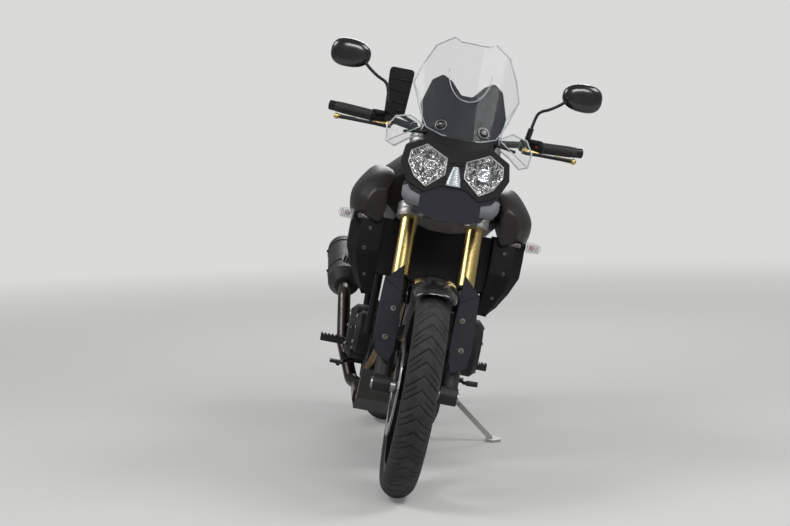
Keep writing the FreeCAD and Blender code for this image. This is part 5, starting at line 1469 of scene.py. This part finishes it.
class MOTORCYCLE_OT_mirrors(bpy.types.Operator):
    """Domed mirror heads on bent stalks with ribbed sleeves, and their glass."""

    bl_idname = "motorcycle.mirrors"
    bl_label = "Mirrors"

    def execute(self, context):
        heads, stalks, glass = solids(3)
        for side in (1, -1):
            skin(heads, [mirror_edge(scale, x, side) for x, scale in MIRROR_SECTIONS])
            skin(glass, [mirror_edge(0.915, x, side) for x in (-15.6, -14)])
            route = [on_side(point, side) for point in MIRROR_ROUTE]
            tube(stalks, smooth_path(route, 6), 5, 12)
            lathe(stalks, route[-1] - Y * side * 12, Y * side, [(0, 8), (4, 9.5), (16, 9.5), (20, 7)], 20)
            for k in range(11):
                place = route[0] + Vector((-0.28, side * 0.19, 1)) * (1.5 + k * 3.6)
                lathe(stalks, place, Z, SLEEVE_RIB, 20)
        piece("mirror_heads", heads, "steering", "gloss_black", ("mirrors",))
        piece("mirror_stalks", stalks, "steering", "bar_black")
        piece("mirror_glasses", glass, "steering", "mirror_glass", smooth=False)
        return {"FINISHED"}


# Left wing's sections from the front to the rear
WING = [
    [(505, 186, 900), (505, 220, 892), (505, 238, 850), (505, 224, 812), (505, 190, 800), (505, 180, 850)],
    [(420, 168, 948), (420, 228, 936), (420, 284, 872), (420, 268, 792), (420, 205, 768), (420, 192, 860)],
    [(300, 200, 958), (300, 246, 944), (300, 288, 872), (300, 276, 790), (300, 226, 762), (300, 190, 860)],
    [(120, 212, 938), (120, 240, 928), (120, 262, 860), (120, 256, 800), (120, 224, 776), (120, 206, 850)],
    [(-20, 198, 880), (-20, 204, 878), (-20, 208, 858), (-20, 207, 840), (-20, 203, 832), (-20, 199, 852)],
]
# Rounded front end: share of the first section, and how far forward
WING_END = ((0.93, 0.6), (0.8, 1.4), (0.5, 2.0))
SHROUD = (
    # height, front, rear, inner side, crease, outer side
    (808, 480, 336, 176, 244, 276),
    (760, 488, 338, 176, 246, 277),
    (700, 493, 341, 176, 246, 276),
    (640, 462, 350, 174, 232, 254),
    (590, 428, 362, 172, 212, 228),
    (556, 402, 380, 172, 192, 200),
)


class MOTORCYCLE_OT_panels(bpy.types.Operator):
    """Rounded wings beside the tank, creased shrouds under them and ribbed rubbers on the pegs."""

    bl_idname = "motorcycle.panels"
    bl_label = "Wings, shrouds and pegs"

    def execute(self, context):
        wings, shrouds, rubbers = solids(3)
        sections = [smooth_loop(section, 6) for section in WING]
        tracks = [smooth_path(track, 5) for track in zip(*sections)]
        rows = [list(row) for row in zip(*tracks)]
        first = rows[0]
        middle = sum(first, Vector()) / len(first)
        for share, push in WING_END:
            rows.insert(0, [middle + (point - middle) * share + X * push for point in first])
        for side in (1, -1):
            skin(wings, [[on_side(point, side) for point in row] for row in rows])
            levels = []
            for z, front, rear, inner, crease, outer in SHROUD:
                corners = ((front, inner), (front + 2, crease), (front - 22, outer), (rear + 24, outer),
                           (rear, crease), (rear, inner))
                levels.append([Vector((x, side * y, z)) for x, y in corners])
            skin(shrouds, levels)
            block(rubbers, (-184, side * 176, 321), (-136, side * 289, 341))
            for k in range(9):
                y = side * (184 + k * 12.4)
                block(rubbers, (-182, y, 341), (-138, y + side * 6, 346))
            start = Vector((-345, side * 176, 583))
            way = Vector((0, side * 94, 14)).normalized()
            for k in range(8):
                lathe(rubbers, start + way * k * 10.5, way, [(0, 11.4), (1, 14), (8, 14), (9, 11.4)], 20)
        soften(shrouds, 5, 24)
        soften(rubbers, 1.2, 60)
        piece("wing_shells", wings, "chassis", "graphite_paint", ("tank_wings",))
        piece("shroud_shells", shrouds, "chassis", "black_plastic", ("radiator_shrouds",), smooth=False)
        piece("peg_rubbers", rubbers, "chassis", "grip_rubber", smooth=False)
        return {"FINISHED"}


# Left outlines as (y, z) seen from ahead
DEFLECTOR = [(118, 1118), (160, 1142), (206, 1130), (228, 1094),
             (222, 1050), (196, 1040), (160, 1068), (128, 1086)]
DEFLECTOR_BRACE = (0.08, 0.3, 0.55, 0.8, 0.94)
CHEEK = [(92, 912), (124, 922), (136, 938), (151, 932), (150, 902), (134, 877), (92, 875)]


def deflector_x(z):
    """How far forward the side deflectors are, at a height, beside the screen."""
    return 588 - 0.25 * (z - 1080)


class MOTORCYCLE_OT_fairing(bpy.types.Operator):
    """Grey cheeks, clear side deflectors, panel bolts, and the indicators' sleeves, bulbs and prisms."""

    bl_idname = "motorcycle.fairing"
    bl_label = "Fairing"

    def execute(self, context):
        cheeks, vanes, edges, arms = solids(4)
        for side in (1, -1):
            corners = [Vector((face_x(z) - 2, side * y, z)) for y, z in CHEEK]
            plate(cheeks, corners, (-8, 0, 0))
            corners = [Vector((deflector_x(z) - 0.15 * (y - 160), side * y, z)) for y, z in DEFLECTOR]
            plate(vanes, corners, (-4, 0, 0))
            tube(edges, [corner - X * 2 for corner in corners], 2.6, 8, loop=True)
            brace = []
            for share in DEFLECTOR_BRACE:
                brace.append(corners[0].lerp(corners[4], share) + X * 6 * math.sin(math.pi * share))
            tube(edges, brace, 1.6, 8)
            tube(arms, [(600, side * 108, 1100), (584, side * 150, 1094), (578, side * 172, 1090)], 4.5, 10)
            for y, z in ((150, 1096), (172, 1090)):
                bolt(arms, (deflector_x(z), side * y, z), X, 5, 3)
        soften(cheeks, 2.0)
        soften(vanes, 1.2)
        piece("cheek_panels", cheeks, "chassis", "cheek_grey")
        piece("side_deflectors", vanes, "chassis", "clear_screen")
        piece("deflector_edges", edges, "chassis", "clear_edge")
        piece("deflector_arms", arms, "chassis", "bar_black")
        self.bolts()
        self.indicators()
        return {"FINISHED"}

    def bolts(self):
        """Panel bolts on the shrouds and covers."""
        bolts, studs = solids(2)
        for y, z, x in ((206, 622, 451), (222, 706, 491), (214, 770, 487)):
            for side in (1, -1):
                bolt(studs, (x, side * y, z), X, 6, 4)
        covers = surface_of(frame["nodes"]["engine_covers"].data)
        for x, z, radius, side in ENGINE_COVERS:
            for k in range(7):
                out = round_axle(2 * math.pi * (k + 0.4) / 7, radius * 0.8)
                start = Vector((x, side * 400, z)) + out
                bolt(bolts, seat_on(covers, start, Y * -side)[0], Y * side, 5, 4)
        piece("panel_bolts", bolts, "chassis", "bolt_steel")
        piece("shroud_studs", studs, "chassis", "chain_steel")

    def indicators(self):
        """Ribbed stalk sleeves, a bulb in each lens and prisms moulded on its face."""
        sleeves, bulbs, prisms = solids(3)
        for x, root, z, way in ((480, 274, 802, 1), (-850, 112, 811, -1)):
            for side in (1, -1):
                for k in range(4):
                    start = Vector((x, side * (root - 14 + k * 4), z))
                    lathe(sleeves, start, Y * side, [(0, 8), (0.6, 10), (2.8, 10), (3.4, 8)], 20)
                place = Matrix.Translation((x + way * 4, side * (root + 20), z))
                bmesh.ops.create_icosphere(bulbs, subdivisions=3, radius=8, matrix=place)
                for k in range(7):
                    y = side * (root + 6 + k * 5.6)
                    tube(prisms, [(x + way * 17.2, y, z + rise) for rise in (-12, 12)], 1.8, 6)
        piece("indicator_sleeves", sleeves, "chassis", "black_plastic")
        piece("indicator_bulbs", bulbs, "chassis", "orange_plastic")
        piece("indicator_prisms", prisms, "chassis", "clear_edge", smooth=False)


class MOTORCYCLE_PT_panel(bpy.types.Panel):
    """Lists the pieces of the motorcycle."""

    bl_idname = "MOTORCYCLE_PT_panel"
    bl_label = "Motorcycle"
    bl_space_type = "VIEW_3D"
    bl_region_type = "UI"
    bl_category = "Motorcycle"

    def draw(self, context):
        for operator in OPERATORS:
            self.layout.operator(operator.bl_idname)
        for group in (context.scene.motorcycle_colours, context.scene.motorcycle_stage):
            for name in group.__annotations__:
                self.layout.prop(group, name)


OPERATORS = (
    MOTORCYCLE_OT_stage,
    MOTORCYCLE_OT_finishes,
    MOTORCYCLE_OT_treads,
    MOTORCYCLE_OT_seats,
    MOTORCYCLE_OT_lamps,
    MOTORCYCLE_OT_screen,
    MOTORCYCLE_OT_cockpit,
    MOTORCYCLE_OT_fork,
    MOTORCYCLE_OT_engine,
    MOTORCYCLE_OT_drive,
    MOTORCYCLE_OT_discs,
    MOTORCYCLE_OT_guards,
    MOTORCYCLE_OT_mirrors,
    MOTORCYCLE_OT_panels,
    MOTORCYCLE_OT_fairing,
)
CLASSES = (MotorcycleColours, MotorcycleStage, *OPERATORS, MOTORCYCLE_PT_panel)


def register():
    for cls in CLASSES:
        bpy.utils.register_class(cls)
    bpy.types.Scene.motorcycle_colours = PointerProperty(type=MotorcycleColours)
    bpy.types.Scene.motorcycle_stage = PointerProperty(type=MotorcycleStage)


def unregister():
    del bpy.types.Scene.motorcycle_stage
    del bpy.types.Scene.motorcycle_colours
    for cls in reversed(CLASSES):
        bpy.utils.unregister_class(cls)


def main():
    register()
    for operator in OPERATORS:
        group, name = operator.bl_idname.split(".")
        getattr(getattr(bpy.ops, group), name)()


if __name__ == "__main__":
    main()
